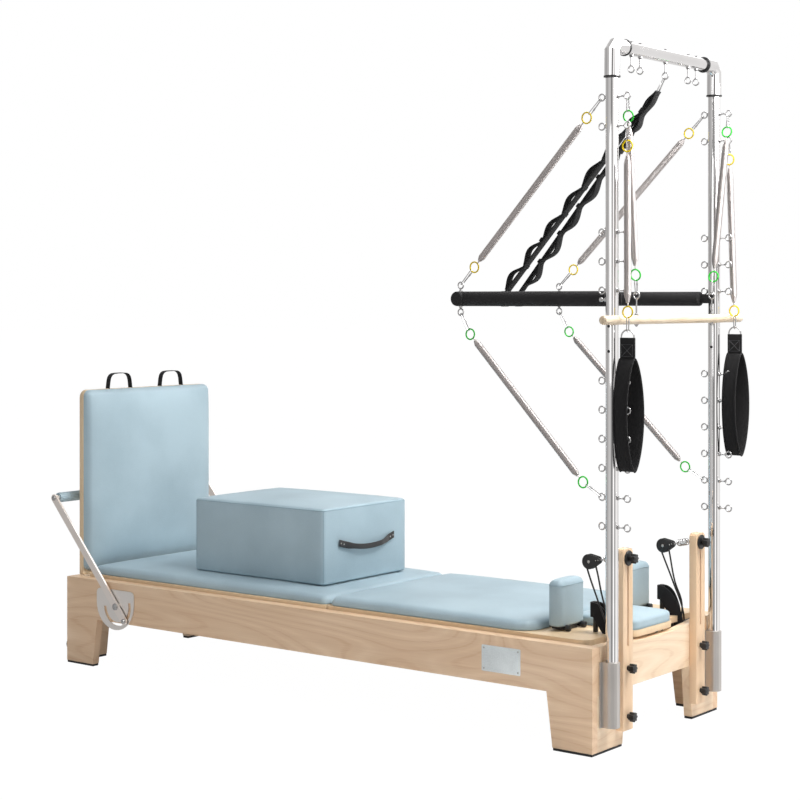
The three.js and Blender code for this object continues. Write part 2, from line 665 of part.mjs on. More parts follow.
function footbarFrame() {
  const y = armGap + footbar.armWall / 2;
  const core = rod(vec(tipX, -y, footbar.tipZ), vec(tipX, y, footbar.tipZ), footbar.coreRadius, 16);
  return join([footbarArm(-1), footbarArm(1), core]);
}

function hollow(from, to, outer, inner, facets = 16) {
  const along = to.clone().sub(from).normalize();
  const bore = rod(from.clone().addScaledVector(along, -overrun), to.clone().addScaledVector(along, overrun),
    inner / Math.cos(2 * quarter / facets), facets);
  return rod(from, to, outer, facets).subtract(bore);
}

function footbarPad() {
  const half = armGap - footbar.padGap;
  return hollow(vec(tipX, -half, footbar.tipZ), vec(tipX, half, footbar.tipZ),
    footbar.padRadius, footbar.coreRadius + clear);
}

// Quadrant plates on the rails: the arm's lock pin travels in the slot.
function quadrant(s) {
  const cx = pivotX + plate.shift;
  const cz = footbar.pivotZ + plate.drop;
  const [x0, x1] = [cx - plate.half, cx + plate.half];
  const points = [...arc(x1 - plate.corner, plate.top - plate.corner, plate.corner, 0, quarter, 3),
    ...arc(x0 + plate.corner, plate.top - plate.corner, plate.corner, quarter, 2 * quarter, 3),
    ...arc(cx, cz, plate.radius, 2 * quarter, 4 * quarter, 16)];
  const slotFrom = 2 * quarter * plate.slotFromShare;
  const slotTo = 4 * quarter * plate.slotToShare;
  const [r0, r1] = [footbar.tail - plate.slotWidth / 2, footbar.tail + plate.slotWidth / 2];
  const slot = [...arc(pivotX, footbar.pivotZ, r1, slotFrom, slotTo, 14),
    ...arc(pivotX, footbar.pivotZ, r0, slotTo, slotFrom, 14)];
  const [y0, y1] = [s * (halfWidth + clear), s * (halfWidth + clear + plate.wall)];
  return boardXZ(points, Math.min(y0, y1), Math.max(y0, y1), [slot]);
}

// The bar under the mat insert that the carriage springs hook on to.
function springRail() {
  const half = railInner - clear - track.web - clear;
  const at = (y, z) => vec(springBarX, y, z);
  const list = [rod(at(-half, springBar.z), at(half, springBar.z), springBar.radius, 10)];
  for (let i = 0; i < springBar.hooks; i += 1) {
    const y = (i - (springBar.hooks - 1) / 2) * springBar.hookPitch;
    const tip = at(y, springBar.z + springBar.hookRise);
    list.push(rod(at(y, springBar.z), tip, springBar.hookRadius, 6));
  }
  for (const s of [-1, 1]) {
    const y = s * half;
    list.push(block(springBarX - springBar.radius, springBarX + springBar.radius, y,
      y - s * track.ledge / 2, trackLedge + clear, springBar.z));
  }
  return join(list);
}

// Tower: posts with eyebolts, the crossbar with its elbows, and the clamps on the head end.
function eyebolt(centre, towards, reach) {
  const from = centre.clone().addScaledVector(towards, eye.radius);
  const to = centre.clone().addScaledVector(towards, reach);
  return ring(centre, vec(0, 1, 0), eye.radius, eye.wire).add(rod(from, to, eye.shank, 3));
}

function eyeHeights() {
  const list = [];
  for (const [low, count] of [[levels.lower, levels.lowerCount], [levels.middle, levels.middleCount],
    [levels.upper, levels.upperCount]]) {
    for (let i = 0; i < count; i += 1) list.push(low + i * levels.pitch);
  }
  return list;
}

function towerPost(s) {
  const y = s * postY;
  let whole = rod(vec(post.x, y, post.foot), vec(post.x, y, post.top), post.radius, post.sides);
  for (const z of eyeHeights()) {
    whole = whole.add(eyebolt(vec(post.x - eye.left, y, z), vec(1, 0, 0), eye.left - post.radius / 2));
    whole = whole.add(eyebolt(vec(post.x + eye.right, y, z), vec(-1, 0, 0), eye.right - post.radius / 2));
  }
  return whole;
}

function crossbar() {
  const low = cross.z - cross.vertical;
  const end = postY - cross.horizontal;
  const list = [rod(vec(post.x, -end - overrun, cross.z), vec(post.x, end + overrun, cross.z), cross.radius,
    post.sides)];
  for (const [, s] of sides) {
    const y = s * postY;
    const knee = [vec(post.x, y, low), vec(post.x, y, cross.z - cross.mitre),
      vec(post.x, y - s * cross.mitre, cross.z), vec(post.x, s * end, cross.z)];
    const bore = rod(vec(post.x, y, low - overrun), vec(post.x, y, post.top + clear), post.radius + clear,
      post.sides);
    list.push(tube(knee, cross.sleeve, post.sides).subtract(bore));
    list.push(hollow(vec(post.x, y, low - cross.ringWall), vec(post.x, y, low),
      cross.sleeve + cross.ringProud, post.radius + clear, post.sides));
    list.push(rod(vec(post.x, s * end, cross.z), vec(post.x, s * (end - cross.ringWall), cross.z),
      cross.sleeve + cross.ringProud, post.sides));
  }
  for (const y of crossEyes) {
    const centre = vec(post.x, y, cross.z - eye.drop);
    list.push(eyebolt(centre, vec(0, 0, 1), eye.drop - cross.radius / 2));
    const topSide = cross.z + cross.radius;
    list.push(rod(vec(post.x, y, topSide - overrun), vec(post.x, y, topSide + eye.nutWall), eye.nut, 6));
  }
  return join(list);
}

function postSleeve(s) {
  const outer = post.radius + clear + sleeve.wall;
  const reach = outer + sleeve.flange;
  const back = clear;
  const front = back + sleeve.wall;
  const half = arc(post.x, 0, outer, -quarter, quarter, 8);
  const points = [[back, -reach], [front, -reach], [front, -outer], ...half, [front, outer], [front, reach],
    [back, reach]];
  const shell = boardXY(points, sleeve.low, sleeve.high);
  const bore = rod(vec(post.x, 0, sleeve.low - overrun), vec(post.x, 0, sleeve.high + overrun),
    post.radius + clear, post.sides);
  let whole = shell.subtract(bore);
  for (const z of [sleeve.low + sleeve.screwInset, sleeve.high - sleeve.screwInset]) {
    for (const d of [-1, 1]) {
      const y = d * (outer + sleeve.flange / 2);
      const tip = vec(front + sleeve.screwProud, y, z);
      whole = whole.add(rod(vec(front - overrun / 2, y, z), tip, sleeve.screw, 8));
    }
  }
  return whole.translate([0, s * postY, 0]);
}

// Push-through bar: two arms level with their pivots, welded to a cross tube with a foam grip.
function pushFrame() {
  const end = barY + pushBar.overhang;
  const at = (x, y, z) => vec(x, y, pushBar.z + z);
  const list = [rod(at(pushBar.x, -barY, 0), at(pushBar.x, barY, 0), pushBar.core, 12)];
  for (const s of [-1, 1]) {
    list.push(rod(at(-pushBar.armEnd, s * barY, 0), at(pushBar.x, s * barY, 0), pushBar.radius, 12));
    list.push(rod(at(pushBar.x, s * (barY - pushBar.radius), 0), at(pushBar.x, s * (end - pushBar.rim), 0),
      pushBar.radius, 16));
    list.push(rod(at(pushBar.x, s * (end - pushBar.rim), 0), at(pushBar.x, s * end, 0), pushBar.radius, 16,
      pushBar.radius - pushBar.rim));
    const tab = barY + pushBar.tabWall / 2;
    list.push(block(-pushBar.armEnd - overrun, post.x + pushBar.tabHalf, s * tab,
      s * (tab - pushBar.tabWall), pushBar.z - pushBar.tabHalf, pushBar.z + pushBar.tabHalf));
    list.push(rod(at(post.x, s * (tab - overrun), 0), at(post.x, s * (postY - post.radius - clear), 0),
      pushBar.pin));
    for (const d of [-1, 1]) {
      const centre = at(pushBar.x, s * barY, d * pushBar.eyeRise);
      list.push(eyebolt(centre, vec(0, 0, -d), pushBar.eyeRise - pushBar.radius / 2));
    }
  }
  return join(list);
}

function pushFoam() {
  const half = barY - pushBar.radius - pushBar.foamGap;
  return hollow(vec(pushBar.x, -half, pushBar.z), vec(pushBar.x, half, pushBar.z), pushBar.radius,
    pushBar.core + clear);
}

// A tower spring: link, coloured ring, close-wound body with cone ends, ring and link.
function link(from, along, across, reach = coil.link) {
  const [a, b] = [coil.linkHalf, reach - coil.linkHalf];
  const path = [];
  for (const [middle, start] of [[a, 1], [b, -1]]) {
    for (let i = 0; i < 4; i += 1) {
      const angle = quarter * start + 2 * quarter * i / 3;
      path.push(from.clone().addScaledVector(along, middle + coil.linkHalf * Math.cos(angle))
        .addScaledVector(across, coil.linkHalf * Math.sin(angle)));
    }
  }
  return tube(path, coil.linkWire, 3, true);
}

function lathed(profile, from, along, facets) {
  const shape = new THREE.LatheGeometry(profile.map(([r, h]) => new THREE.Vector2(r, h)), facets);
  shape.applyQuaternion(new THREE.Quaternion().setFromUnitVectors(vec(0, 1, 0), along));
  shape.translate(from.x, from.y, from.z);
  return solid(shape);
}

function towerSpring(a, b, gap = coil.linkGap, sag = 0, hooks = coil.link) {
  const line = b.clone().sub(a).normalize();
  const across = vec(0, 1, 0).addScaledVector(line, -line.y).normalize();
  const bite = eye.radius - eye.wire - gap - 2 * coil.linkWire;
  const ringAt = hooks + coil.ring - coil.bite * (coil.ringWire + coil.linkWire);
  const reach = Math.sqrt((bite + ringAt) ** 2 - sag ** 2);
  const hang = vec(0, 0, -1).addScaledVector(line, line.z).normalize().multiplyScalar(sag);
  const list = [];
  const centres = [[a, line], [b, line.clone().negate()]].map(([end, inward]) => {
    const centre = end.clone().addScaledVector(inward, reach).add(hang);
    const towards = centre.clone().sub(end).normalize();
    list.push(link(end.clone().addScaledVector(towards, bite), towards, across, hooks));
    list.push(ring(centre, across, coil.ring, coil.ringWire, 10, 3));
    return centre;
  });
  const bodyAt = coil.ring + coil.hook;
  const length = centres[0].distanceTo(centres[1]) - 2 * bodyAt;
  const spot = (d) => centres[0].clone().addScaledVector(line, d);
  const profile = [[0, 0], [coil.neck, 0], [coil.radius, coil.cone], [coil.radius, length - coil.cone],
    [coil.neck, length], [0, length]];
  const tail = bodyAt + length;
  return join([...list,
    rod(spot(coil.ring - overrun / 2), spot(bodyAt + overrun), coil.wire, 4),
    lathed(profile, spot(bodyAt), line, 8),
    rod(spot(tail - overrun), spot(tail + coil.hook + overrun / 2), coil.wire, 4)]);
}

function rollDownBar() {
  const half = halfWidth + rollBar.overhang;
  const list = [rod(vec(rollBar.x, -half, rollBar.z), vec(rollBar.x, half, rollBar.z), rollBar.radius, 16)];
  for (const s of [-1, 1]) {
    const y = s * rollEyeY;
    list.push(eyebolt(vec(rollBar.x, y, rollBar.z + rollBar.eyeRise), vec(0, 0, -1), rollBar.eyeRise));
    const under = rollBar.z - rollBar.radius - rollBar.nutDrop;
    list.push(rod(vec(rollBar.x, y, rollBar.z), vec(rollBar.x, y, under), eye.nut, 6));
  }
  return join(list);
}

function loopX(s) {
  return s < 0 ? loop.nearX : loop.farX;
}

// Hand and foot loop: a padded band, open in the middle, sewn to a tab on a D-ring.
function hangingLoop(s) {
  const x = loopX(s);
  const y = s * loopY;
  const side = (half, low, high, dir) => {
    const points = [];
    for (let i = 0; i <= loop.steps; i += 1) {
      const t = i / loop.steps;
      const turn = 2 * quarter * (loop.lowShare + loop.swellShare * (1 - t));
      points.push([y + dir * half * Math.sin(turn) ** loop.fullShare, low + (high - low) * t]);
    }
    return points;
  };
  const around = (half, low, high) => [...side(half, low, high, 1), ...side(half, low, high, -1).reverse()];
  const low = loop.low;
  const high = loop.top - loop.tab;
  const outer = around(loop.half, low, high);
  const inner = around(loop.half - loop.wall, low + loop.wall, high - loop.wall);
  const [x0, x1] = [x - loop.width / 2, x + loop.width / 2];
  const tab = block(x0, x1, y - loop.tabHalf, y + loop.tabHalf, high - overrun, loop.top);
  const centre = vec(x, y, loop.top + eye.wire);
  const dRing = ring(centre, vec(0, 1, 0), loop.dRing, loop.dWire, 12, 3);
  return join([boardYZ(outer, x0, x1, [inner]), tab, dRing]);
}

function loopHook(s) {
  return vec(loopX(s), s * loopY, loop.top + eye.wire + loop.dRing - eye.radius);
}

// Daisy-chain strap from the crossbar to the push-through bar: two flat bands side by side, the near
// one with its sewn loops on top and the far one with them below, folded together under the hook.
function daisyStrap() {
  const low = vec(pushBar.x + daisy.ahead, 0, pushBar.z + pushBar.radius + daisy.wrap / 2);
  const eyeAt = vec(post.x, 0, cross.z - eye.drop);
  const high = eyeAt.clone().sub(vec(daisy.topBack, 0, daisy.topDrop));
  const length = low.distanceTo(high);
  const along = high.clone().sub(low).normalize();
  const across = vec(0, 1, 0);
  const out = along.clone().cross(across);
  const upper = length - daisy.gather;
  const slope = (daisy.topHalf - daisy.half) / upper;
  const flat = (points, s, width) => {
    const shape = extrude(outline(points), width);
    shape.translate(0, 0, -width / 2);
    const lie = along.clone().addScaledVector(across, s * slope);
    const at = low.clone().addScaledVector(across, s * daisy.half);
    shape.applyMatrix4(new THREE.Matrix4().makeBasis(lie, out, across.clone().negate()).setPosition(at));
    return solid(shape);
  };
  const list = [];
  for (const [, s] of sides) {
    const half = daisy.band / 2;
    const first = s < 0 ? 0 : daisy.shift;
    const run = (upper - first) / daisy.loops;
    list.push(flat([[0, -half], [upper + overrun, -half], [upper + overrun, half], [0, half]], s,
      daisy.width));
    for (let i = 0; i < daisy.loops; i += 1) {
      const bow = (k, v) => {
        const share = k / daisy.loopSteps;
        const t = first + i * run + overrun / 2 + share * (run - overrun);
        return [t, -s * (v + daisy.bulge * Math.sin(2 * quarter * share))];
      };
      const points = [];
      for (let k = 0; k <= daisy.loopSteps; k += 1) points.push(bow(k, daisy.strand / 2));
      for (let k = daisy.loopSteps; k >= 0; k -= 1) points.push(bow(k, -daisy.strand / 2));
      list.push(flat(points, s, daisy.width - overrun));
    }
    const [y0, y1] = [s * daisy.half - daisy.width / 2, s * daisy.half + daisy.width / 2];
    list.push(rod(vec(pushBar.x, y0, pushBar.z), vec(pushBar.x, y1, pushBar.z),
      pushBar.radius + daisy.wrap, 12));
  }
  const last = daisy.foldShares.length - 1;
  const folds = daisy.foldShares.map((share, i) => [upper + daisy.gather * i / last,
    share * daisy.gatherHalf]);
  list.push(flat([...folds, ...folds.map(([t, v]) => [t, -v]).reverse()], 0, daisy.gatherWidth));
  const hang = high.clone().sub(eyeAt).normalize();
  const bite = eye.radius - eye.wire - coil.linkGap - 2 * coil.linkWire;
  list.push(link(eyeAt.clone().addScaledVector(hang, bite), hang, across));
  const bore = rod(vec(pushBar.x, -postY, pushBar.z), vec(pushBar.x, postY, pushBar.z),
    pushBar.radius + clear, 16);
  return join(list).subtract(bore);
}

// Pulley risers on the head end, clamped by two star knobs each.
function starKnob(x, y, z) {
  const points = [];
  const count = knob.lobes * knob.facets;
  for (let i = 0; i < count; i += 1) {
    const angle = 4 * quarter * i / count;
    const r = knob.radius - knob.lobe * (0.5 - 0.5 * Math.cos(knob.lobes * angle));
    points.push([y + r * Math.cos(angle), z + r * Math.sin(angle)]);
  }
  return boardYZ(points, x + knob.stem, x + knob.stem + knob.wall)
    .add(rod(vec(x - overrun, y, z), vec(x + knob.stem + overrun, y, z), knob.stemRadius, 6));
}

function riserBoard(s) {
  const y = s * riserY;
  const half = riser.width / 2;
  const end = riser.slot / 2 - clear / 2;
  const slot = roundBox(y - riser.slot / 2, y + riser.slot / 2, riser.slotLow, riser.slotHigh,
    [end, end, end, end]);
  const radii = [riser.corner, riser.corner, riser.lowCorner, riser.lowCorner];
  const face = clear + riser.wall;
  const board = boardYZ(roundBox(y - half, y + half, riser.low, riser.high, radii), clear, face, [slot]);
  return join([board, starKnob(face, y, knob.lowerZ), starKnob(face, y, knob.upperZ)]);
}

// The knob that holds the pulley at its height, with its bolt and eye.
function heightKnob(s) {
  const y = s * riserY;
  const front = clear + riser.wall + clear;
  const disc = rod(vec(front, y, height.z), vec(front + height.discWall, y, height.z), height.disc, 16);
  const bolt = rod(vec(-height.reach + height.eye, y, height.z), vec(front + overrun, y, height.z),
    height.bolt, 6);
  const collar = rod(vec(0, y, height.z), vec(-height.collarWall, y, height.z), height.collar, 8);
  const loopEye = ring(eyeSpot(s), vec(0, 1, 0), height.eye, height.wire);
  return join([disc, starKnob(front + height.discWall - overrun, y, height.z), bolt, collar, loopEye]);
}

function eyeSpot(s) {
  return vec(-height.reach, s * riserY, height.z);
}

function pulleyLine(s) {
  const from = eyeSpot(s);
  const to = vec(pulley.x, s * riserY, pulley.z);
  return { from, to, along: to.clone().sub(from).normalize(), span: from.distanceTo(to) };
}

function pulleyBlock(s) {
  const { to, along } = pulleyLine(s);
  const back = along.clone().negate();
  const across = vec(-back.z, 0, back.x);
  const local = [...arc(0, 0, pulley.radius, quarter * pulley.capShare, quarter * (4 - pulley.capShare), 12),
    [pulley.tail, -pulley.tailHalf], [pulley.tail, pulley.tailHalf]];
  const points = local.map(([a, b]) => {
    const spot = to.clone().addScaledVector(back, a).addScaledVector(across, b);
    return [spot.x, spot.z];
  });
  const y = s * riserY;
  const list = [];
  for (const d of [-1, 1]) {
    const [y0, y1] = [y + d * pulley.gap / 2, y + d * (pulley.gap / 2 + pulley.cheek)];
    list.push(boardXZ(points, Math.min(y0, y1), Math.max(y0, y1)));
  }
  const [y0, y1] = [y - pulley.gap / 2 - overrun / 2, y + pulley.gap / 2 + overrun / 2];
  list.push(rod(vec(to.x, y0, to.z), vec(to.x, y1, to.z), pulley.core, 12));
  const tail = to.clone().addScaledVector(back, pulley.tail - pulley.tailHalf);
  list.push(rod(vec(tail.x, y0, tail.z), vec(tail.x, y1, tail.z), pulley.tailHalf, 6));
  const eyeAt = to.clone().addScaledVector(back, pulley.tail + pulley.eye - pulley.wire / 2);
  list.push(ring(eyeAt, vec(0, 1, 0), pulley.eye, pulley.wire));
  return join(list);
}

// The coil spring between the knob's eye and the pulley: one wire, its ends drawn to the middle.
function pulleySpring(s) {
  const { from, along, span } = pulleyLine(s);
  const first = height.eye + height.wire + curl.stand;
  const last = span - pulley.tail - 2 * pulley.eye - pulley.wire - curl.stand;
  const u = vec(0, 1, 0);
  const v = along.clone().cross(u);
  const count = curl.turns * curl.steps;
  const path = [from.clone().addScaledVector(along, first - curl.stand + clear)];
  for (let i = 0; i <= count; i += 1) {
    const t = i / count;
    const angle = 4 * quarter * i / curl.steps;
    const draw = Math.min(1, curl.endShare + Math.min(t, 1 - t) * curl.turns);
    const [a, b] = [curl.radius * draw * Math.cos(angle), curl.radius * draw * Math.sin(angle)];
    path.push(from.clone().addScaledVector(along, first + (last - first) * t)
      .addScaledVector(u, a).addScaledVector(v, b));
  }
  path.push(from.clone().addScaledVector(along, last + curl.stand - clear));
  return tube(path, curl.wire, curl.sides);
}

// Rope: from the carriage up over the sheave and down again, ending at the hanging foot loop.
function pulleyRope(s) {
  const y = s * riserY;
  const { to } = pulleyLine(s);
  const turn = pulley.core + clear + rope.radius + clear;
  const down = vec(rope.x - to.x, 0, rope.z - to.z).normalize();
  const side = vec(down.z, 0, -down.x);
  const point = (reach, out, dy) => to.clone().addScaledVector(down, reach).addScaledVector(side, out)
    .add(vec(0, dy, 0));
  const length = Math.hypot(rope.x - to.x, rope.z - to.z);
  const knot = pulley.radius * pulley.knotShare;
  const path = [];
  path.push(vec(rope.footX, y + s * rope.apart, rope.low), point(length, 0, s * rope.apart));
  path.push(point(knot * pulley.farShare, rope.radius, s * rope.apart));
  path.push(point(knot * pulley.nearShare, turn * pulley.besideShare, s * rope.apart / 2));
  for (let i = 0; i <= 8; i += 1) {
    const angle = 2 * quarter * i / 8;
    path.push(point(-turn * Math.sin(angle), turn * Math.cos(angle), 0));
  }
  path.push(point(knot * pulley.nearShare, -turn * pulley.besideShare, -s * rope.apart / 2));
  path.push(point(knot * pulley.farShare, -rope.radius, -s * rope.apart));
  path.push(vec(rope.x, y - s * rope.apart, rope.z + rope.lead), vec(webbing.tailX, s * pegY, webbing.low));
  return tube(path, rope.radius, rope.sides);
}

// Foot loop: a padded band hung round its peg, narrowing to where the rope is tied to it.
function footLoop(s) {
  const y = s * pegY;
  const route = (share, spread) => {
    const x = webbing.tailX + (webbing.farX - webbing.tailX) * share;
    const rise = Math.sin(quarter * Math.min(1, share * webbing.reach)) ** webbing.lift;
    return vec(x, y + spread, webbing.low + (webbing.high - webbing.low) * rise);
  };
  const { steps, turnShare, spread } = webbing;
  const straight = 1 - turnShare;
  const open = (share) => Math.min(1, webbing.tight + share * webbing.openRate);
  const leg = (i, side) => route(i / steps * straight, side * spread * open(i / steps));
  const band = [];
  for (let i = 0; i <= steps; i += 1) band.push([leg(i, -1), i / steps]);
  for (const angle of [-quarter / 2, 0, quarter / 2]) {
    band.push([route(straight + turnShare * Math.cos(angle), spread * Math.sin(angle)), 1]);
  }
  for (let i = steps; i >= 0; i -= 1) band.push([leg(i, 1), i / steps]);
  const rings = band.map(([point, share], i) => {
    const before = band[Math.max(i - 1, 0)][0];
    const after = band[Math.min(i + 1, band.length - 1)][0];
    const along = after.clone().sub(before).normalize();
    const level = vec(-along.y, along.x, 0).normalize();
    const tall = along.clone().cross(level).normalize();
    const wide = Math.min(1, webbing.narrow + share * webbing.openRate);
    const [w, h] = [webbing.wall / 2, webbing.width / 2 * wide];
    return [[-w, -h], [w, -h], [w, h], [-w, h]].map(([a, b]) => point.clone().addScaledVector(level, a)
      .addScaledVector(tall, b));
  });
  return skin(rings);
}

// Assembly
addNode('head_end_panel', headPanel(), finish.wood);
addNode('foot_end_panel', footPanel(), finish.wood);
for (const [word, s] of sides) {
  addNode(`side_panel_${word}`, sidePanel(s), finish.wood);
  addNode(`rubber_sole_head_${word}`, legSole(0, -1, s), finish.rubber);
  addNode(`rubber_sole_foot_${word}`, legSole(-frame.length, 1, s), finish.rubber);
  addNode(`carriage_track_${word}`, trackRail(s), finish.alloy);
  addNode(`transport_wheel_${word}`, transportWheel(s), finish.black);
  addNode(`footbar_quadrant_${word}`, quadrant(s), finish.alloy);
  addNode(`post_clamp_${word}`, postSleeve(s), finish.alloy);
  addNode(`tower_post_${word}`, towerPost(s), finish.chrome);
  addNode(`pulley_riser_${word}`, riserBoard(s), finish.wood);
  addNode(`pulley_knob_${word}`, heightKnob(s), finish.black);
  addNode(`pulley_block_${word}`, pulleyBlock(s), finish.black);
  addNode(`pulley_spring_${word}`, pulleySpring(s), finish.chrome);
  addNode(`rope_${word}`, pulleyRope(s).add(footLoop(s)), finish.web);
  addNode(`shoulder_rest_${word}`, shoulderRest(s), finish.vinyl);
  addNode(`hanging_loop_${word}`, hangingLoop(s), finish.web);
  rollerXs.forEach((x, i) => {
    addNode(`carriage_roller_${i ? 'head' : 'foot'}_${word}`, rollerWheel(x, s), finish.black);
  });
}
addNode('spring_bar', springRail(), finish.steel);
addNode('mat_insert', matInsert(), finish.vinyl);
addNode('carriage_deck', carriageDeck(), finish.bareWood);
addNode('carriage_pad', carriagePad(), finish.vinyl);
addNode('headrest', headrestUnit(), finish.vinyl);
addNode('jump_board', jumpBoard(), finish.bareWood);
addNode('jump_board_pad', jumpPad(), finish.vinyl);
addNode('sitting_box', sittingBox(), finish.vinyl);
addNode('sitting_box_handle', boxHandle(), finish.black);
addNode('footbar', footbarFrame(), finish.steel);
addNode('footbar_sleeve', footbarPad(), finish.vinyl);
addNode('tower_crossbar', crossbar(), finish.chrome);
addNode('push_through_bar', pushFrame(), finish.black);
addNode('push_through_foam', pushFoam(), finish.rubber);
addNode('roll_down_bar', rollDownBar(), finish.bareWood);
addNode('daisy_strap', daisyStrap(), finish.web);
const eyes = eyeHeights();
for (const [word, s] of sides) {
  const left = (i) => vec(post.x - eye.left, s * postY, eyes[i]);
  const right = (i) => vec(post.x + eye.right, s * postY, eyes[i]);
  const barEye = (d) => vec(pushBar.x, s * barY, pushBar.z + d * pushBar.eyeRise);
  const last = eyes.length - 1;
  addNode(`upper_spring_${word}`, towerSpring(left(last), barEye(1)), finish.spring);
  addNode(`lower_spring_${word}`, towerSpring(left(1), barEye(-1), coil.linkGap, coil.sag), finish.spring);
  addNode(`roll_down_spring_${word}`,
    towerSpring(right(last), vec(rollBar.x, s * rollEyeY, rollBar.z + rollBar.eyeRise), coil.slantGap,
      0, coil.shortLink),
    finish.spring);
  addNode(`loop_spring_${word}`, towerSpring(right(last - 1), loopHook(s), coil.loopGap, 0, coil.shortLink),
    finish.spring);
}

// The origin is the middle of the footprint, on the floor.
const extent = new THREE.Box3().setFromObject(model);
const middle = extent.getCenter(new THREE.Vector3());
model.position.set(-middle.x, -middle.y, -extent.min.z);

export default model;
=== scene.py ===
import bpy
import bmesh
import math
from mathutils import Matrix, Vector


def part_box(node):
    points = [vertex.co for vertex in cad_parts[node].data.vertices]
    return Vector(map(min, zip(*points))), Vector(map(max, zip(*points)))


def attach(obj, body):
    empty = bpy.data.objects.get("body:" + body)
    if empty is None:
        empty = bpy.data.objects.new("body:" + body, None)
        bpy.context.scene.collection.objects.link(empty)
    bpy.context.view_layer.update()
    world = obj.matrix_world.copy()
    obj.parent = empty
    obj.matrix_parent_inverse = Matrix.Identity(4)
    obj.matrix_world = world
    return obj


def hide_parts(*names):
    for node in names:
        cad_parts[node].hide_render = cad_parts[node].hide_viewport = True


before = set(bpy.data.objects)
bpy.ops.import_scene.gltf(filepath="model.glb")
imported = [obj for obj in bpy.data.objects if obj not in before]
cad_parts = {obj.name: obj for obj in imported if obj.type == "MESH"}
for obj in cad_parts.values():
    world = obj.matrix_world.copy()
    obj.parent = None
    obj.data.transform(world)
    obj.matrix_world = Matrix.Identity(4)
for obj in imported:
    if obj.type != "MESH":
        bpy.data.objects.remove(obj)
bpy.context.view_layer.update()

# The camera stands at the height of the push-through bar, off the tower's near corner.
# Its lens shift keeps the posts upright while the whole bed stays in the picture.
scene = bpy.context.scene
view = bpy.data.cameras.new("photo_camera")
view.lens = 80.53
view.sensor_width = 36
view.shift_y = -0.1246
camera = bpy.data.objects.new("photo_camera", view)
camera.location = (4.0215, -5.062, 1.390)
camera.rotation_euler = (math.radians(90), 0, math.radians(37.73))
scene.collection.objects.link(camera)
scene.camera = camera
scene.view_settings.view_transform = "Standard"


# Materials are written as sums: a signal is one socket, and each operator adds its Math node.
# A graph makes nodes in one tree. Its node method takes a type, its settings and its sockets.
class Signal:
    def __init__(self, graph, socket):
        self.graph = graph
        self.socket = socket

    def maths(self, operation, first, second):
        return self.graph.node("Math", {"operation": operation}, {0: first, 1: second})

    def __add__(self, other):
        return self.maths("ADD", self, other)

    def __radd__(self, other):
        return self.maths("ADD", other, self)

    def __sub__(self, other):
        return self.maths("SUBTRACT", self, other)

    def __rsub__(self, other):
        return self.maths("SUBTRACT", other, self)

    def __mul__(self, other):
        return self.maths("MULTIPLY", self, other)

    def __rmul__(self, other):
        return self.maths("MULTIPLY", other, self)

    def __truediv__(self, other):
        return self.maths("DIVIDE", self, other)

    def __pow__(self, other):
        return self.maths("POWER", self, other)


class Graph:
    def __init__(self, tree):
        self.tree = tree
        self.tree.nodes.clear()

    def node(self, kind, settings=None, sockets=None, result=0):
        made = self.tree.nodes.new("ShaderNode" + kind)
        for setting, value in (settings or {}).items():
            if setting == "stops":
                self.set_stops(made.color_ramp.elements, value)
            else:
                setattr(made, setting, value)
        for key, value in (sockets or {}).items():
            self.feed(made.inputs[key], value)
        return Signal(self, made.outputs[result])

    @staticmethod
    def set_stops(elements, stops):
        while len(elements) < len(stops):
            elements.new(1)
        for element, (position, color) in zip(elements, stops):
            element.position = position
            element.color = color

    def feed(self, target, value):
        if isinstance(value, Signal):
            self.tree.links.new(value.socket, target)
        else:
            target.default_value = value

    def blend(self, factor, first, second, mode="MIX"):
        """Two colours mixed by a factor."""
        return self.node("Mix", {"data_type": "RGBA", "blend_type": mode},
                         {0: factor, 6: first, 7: second}, 2)


class Finish(Graph):
    """The graph of one material. Its constants are set on the shader's sockets."""

    def __init__(self, name, **constants):
        self.material = bpy.data.materials.new(name)
        self.material.use_nodes = True
        super().__init__(self.material.node_tree)
        self.shader = self.tree.nodes.new("ShaderNodeBsdfPrincipled")
        self.output = self.tree.nodes.new("ShaderNodeOutputMaterial")
        self.tree.links.new(self.shader.outputs["BSDF"], self.output.inputs["Surface"])
        for socket, value in constants.items():
            self.shader.inputs[socket.replace("_", " ")].default_value = value

    def wire(self, **links):
        for socket, value in links.items():
            self.feed(self.shader.inputs[socket.replace("_", " ")], value)
        return self

    def place(self, stretch=(1, 1, 1)):
        """Object coordinates in metres, stretched."""
        own = self.node("TexCoord", result="Object")
        return self.node("Mapping", sockets={"Vector": own, "Scale": stretch})

    def noise(self, vector, scale, detail=3.0, roughness=0.5, distortion=0.0):
        return self.node("TexNoise", sockets={"Vector": vector, "Scale": scale, "Detail": detail,
                                              "Roughness": roughness, "Distortion": distortion})

    def ramp(self, signal, *stops):
        return self.node("ValToRGB", {"stops": stops}, {"Fac": signal})

    def relief(self, height, distance, strength=1.0):
        """A bump whose full height is a distance in metres."""
        return self.node("Bump", sockets={"Height": height, "Distance": distance,
                                          "Strength": strength})


def paint(red, green, blue):
    """A colour as it looks on screen, 0 to 255, in the linear values that Blender uses."""
    linear = [((c / 255 + 0.055) / 1.055) ** 2.4 if c > 10 else c / 3294.6 for c in (red, green, blue)]
    return (*linear, 1)


def shade(color, share):
    """A colour made darker or lighter."""
    return (*(c * share for c in color[:3]), 1)


def grained(along, across, length):
    """A stretch that draws figure out along one axis."""
    return [length if axis == along else across for axis in range(3)]


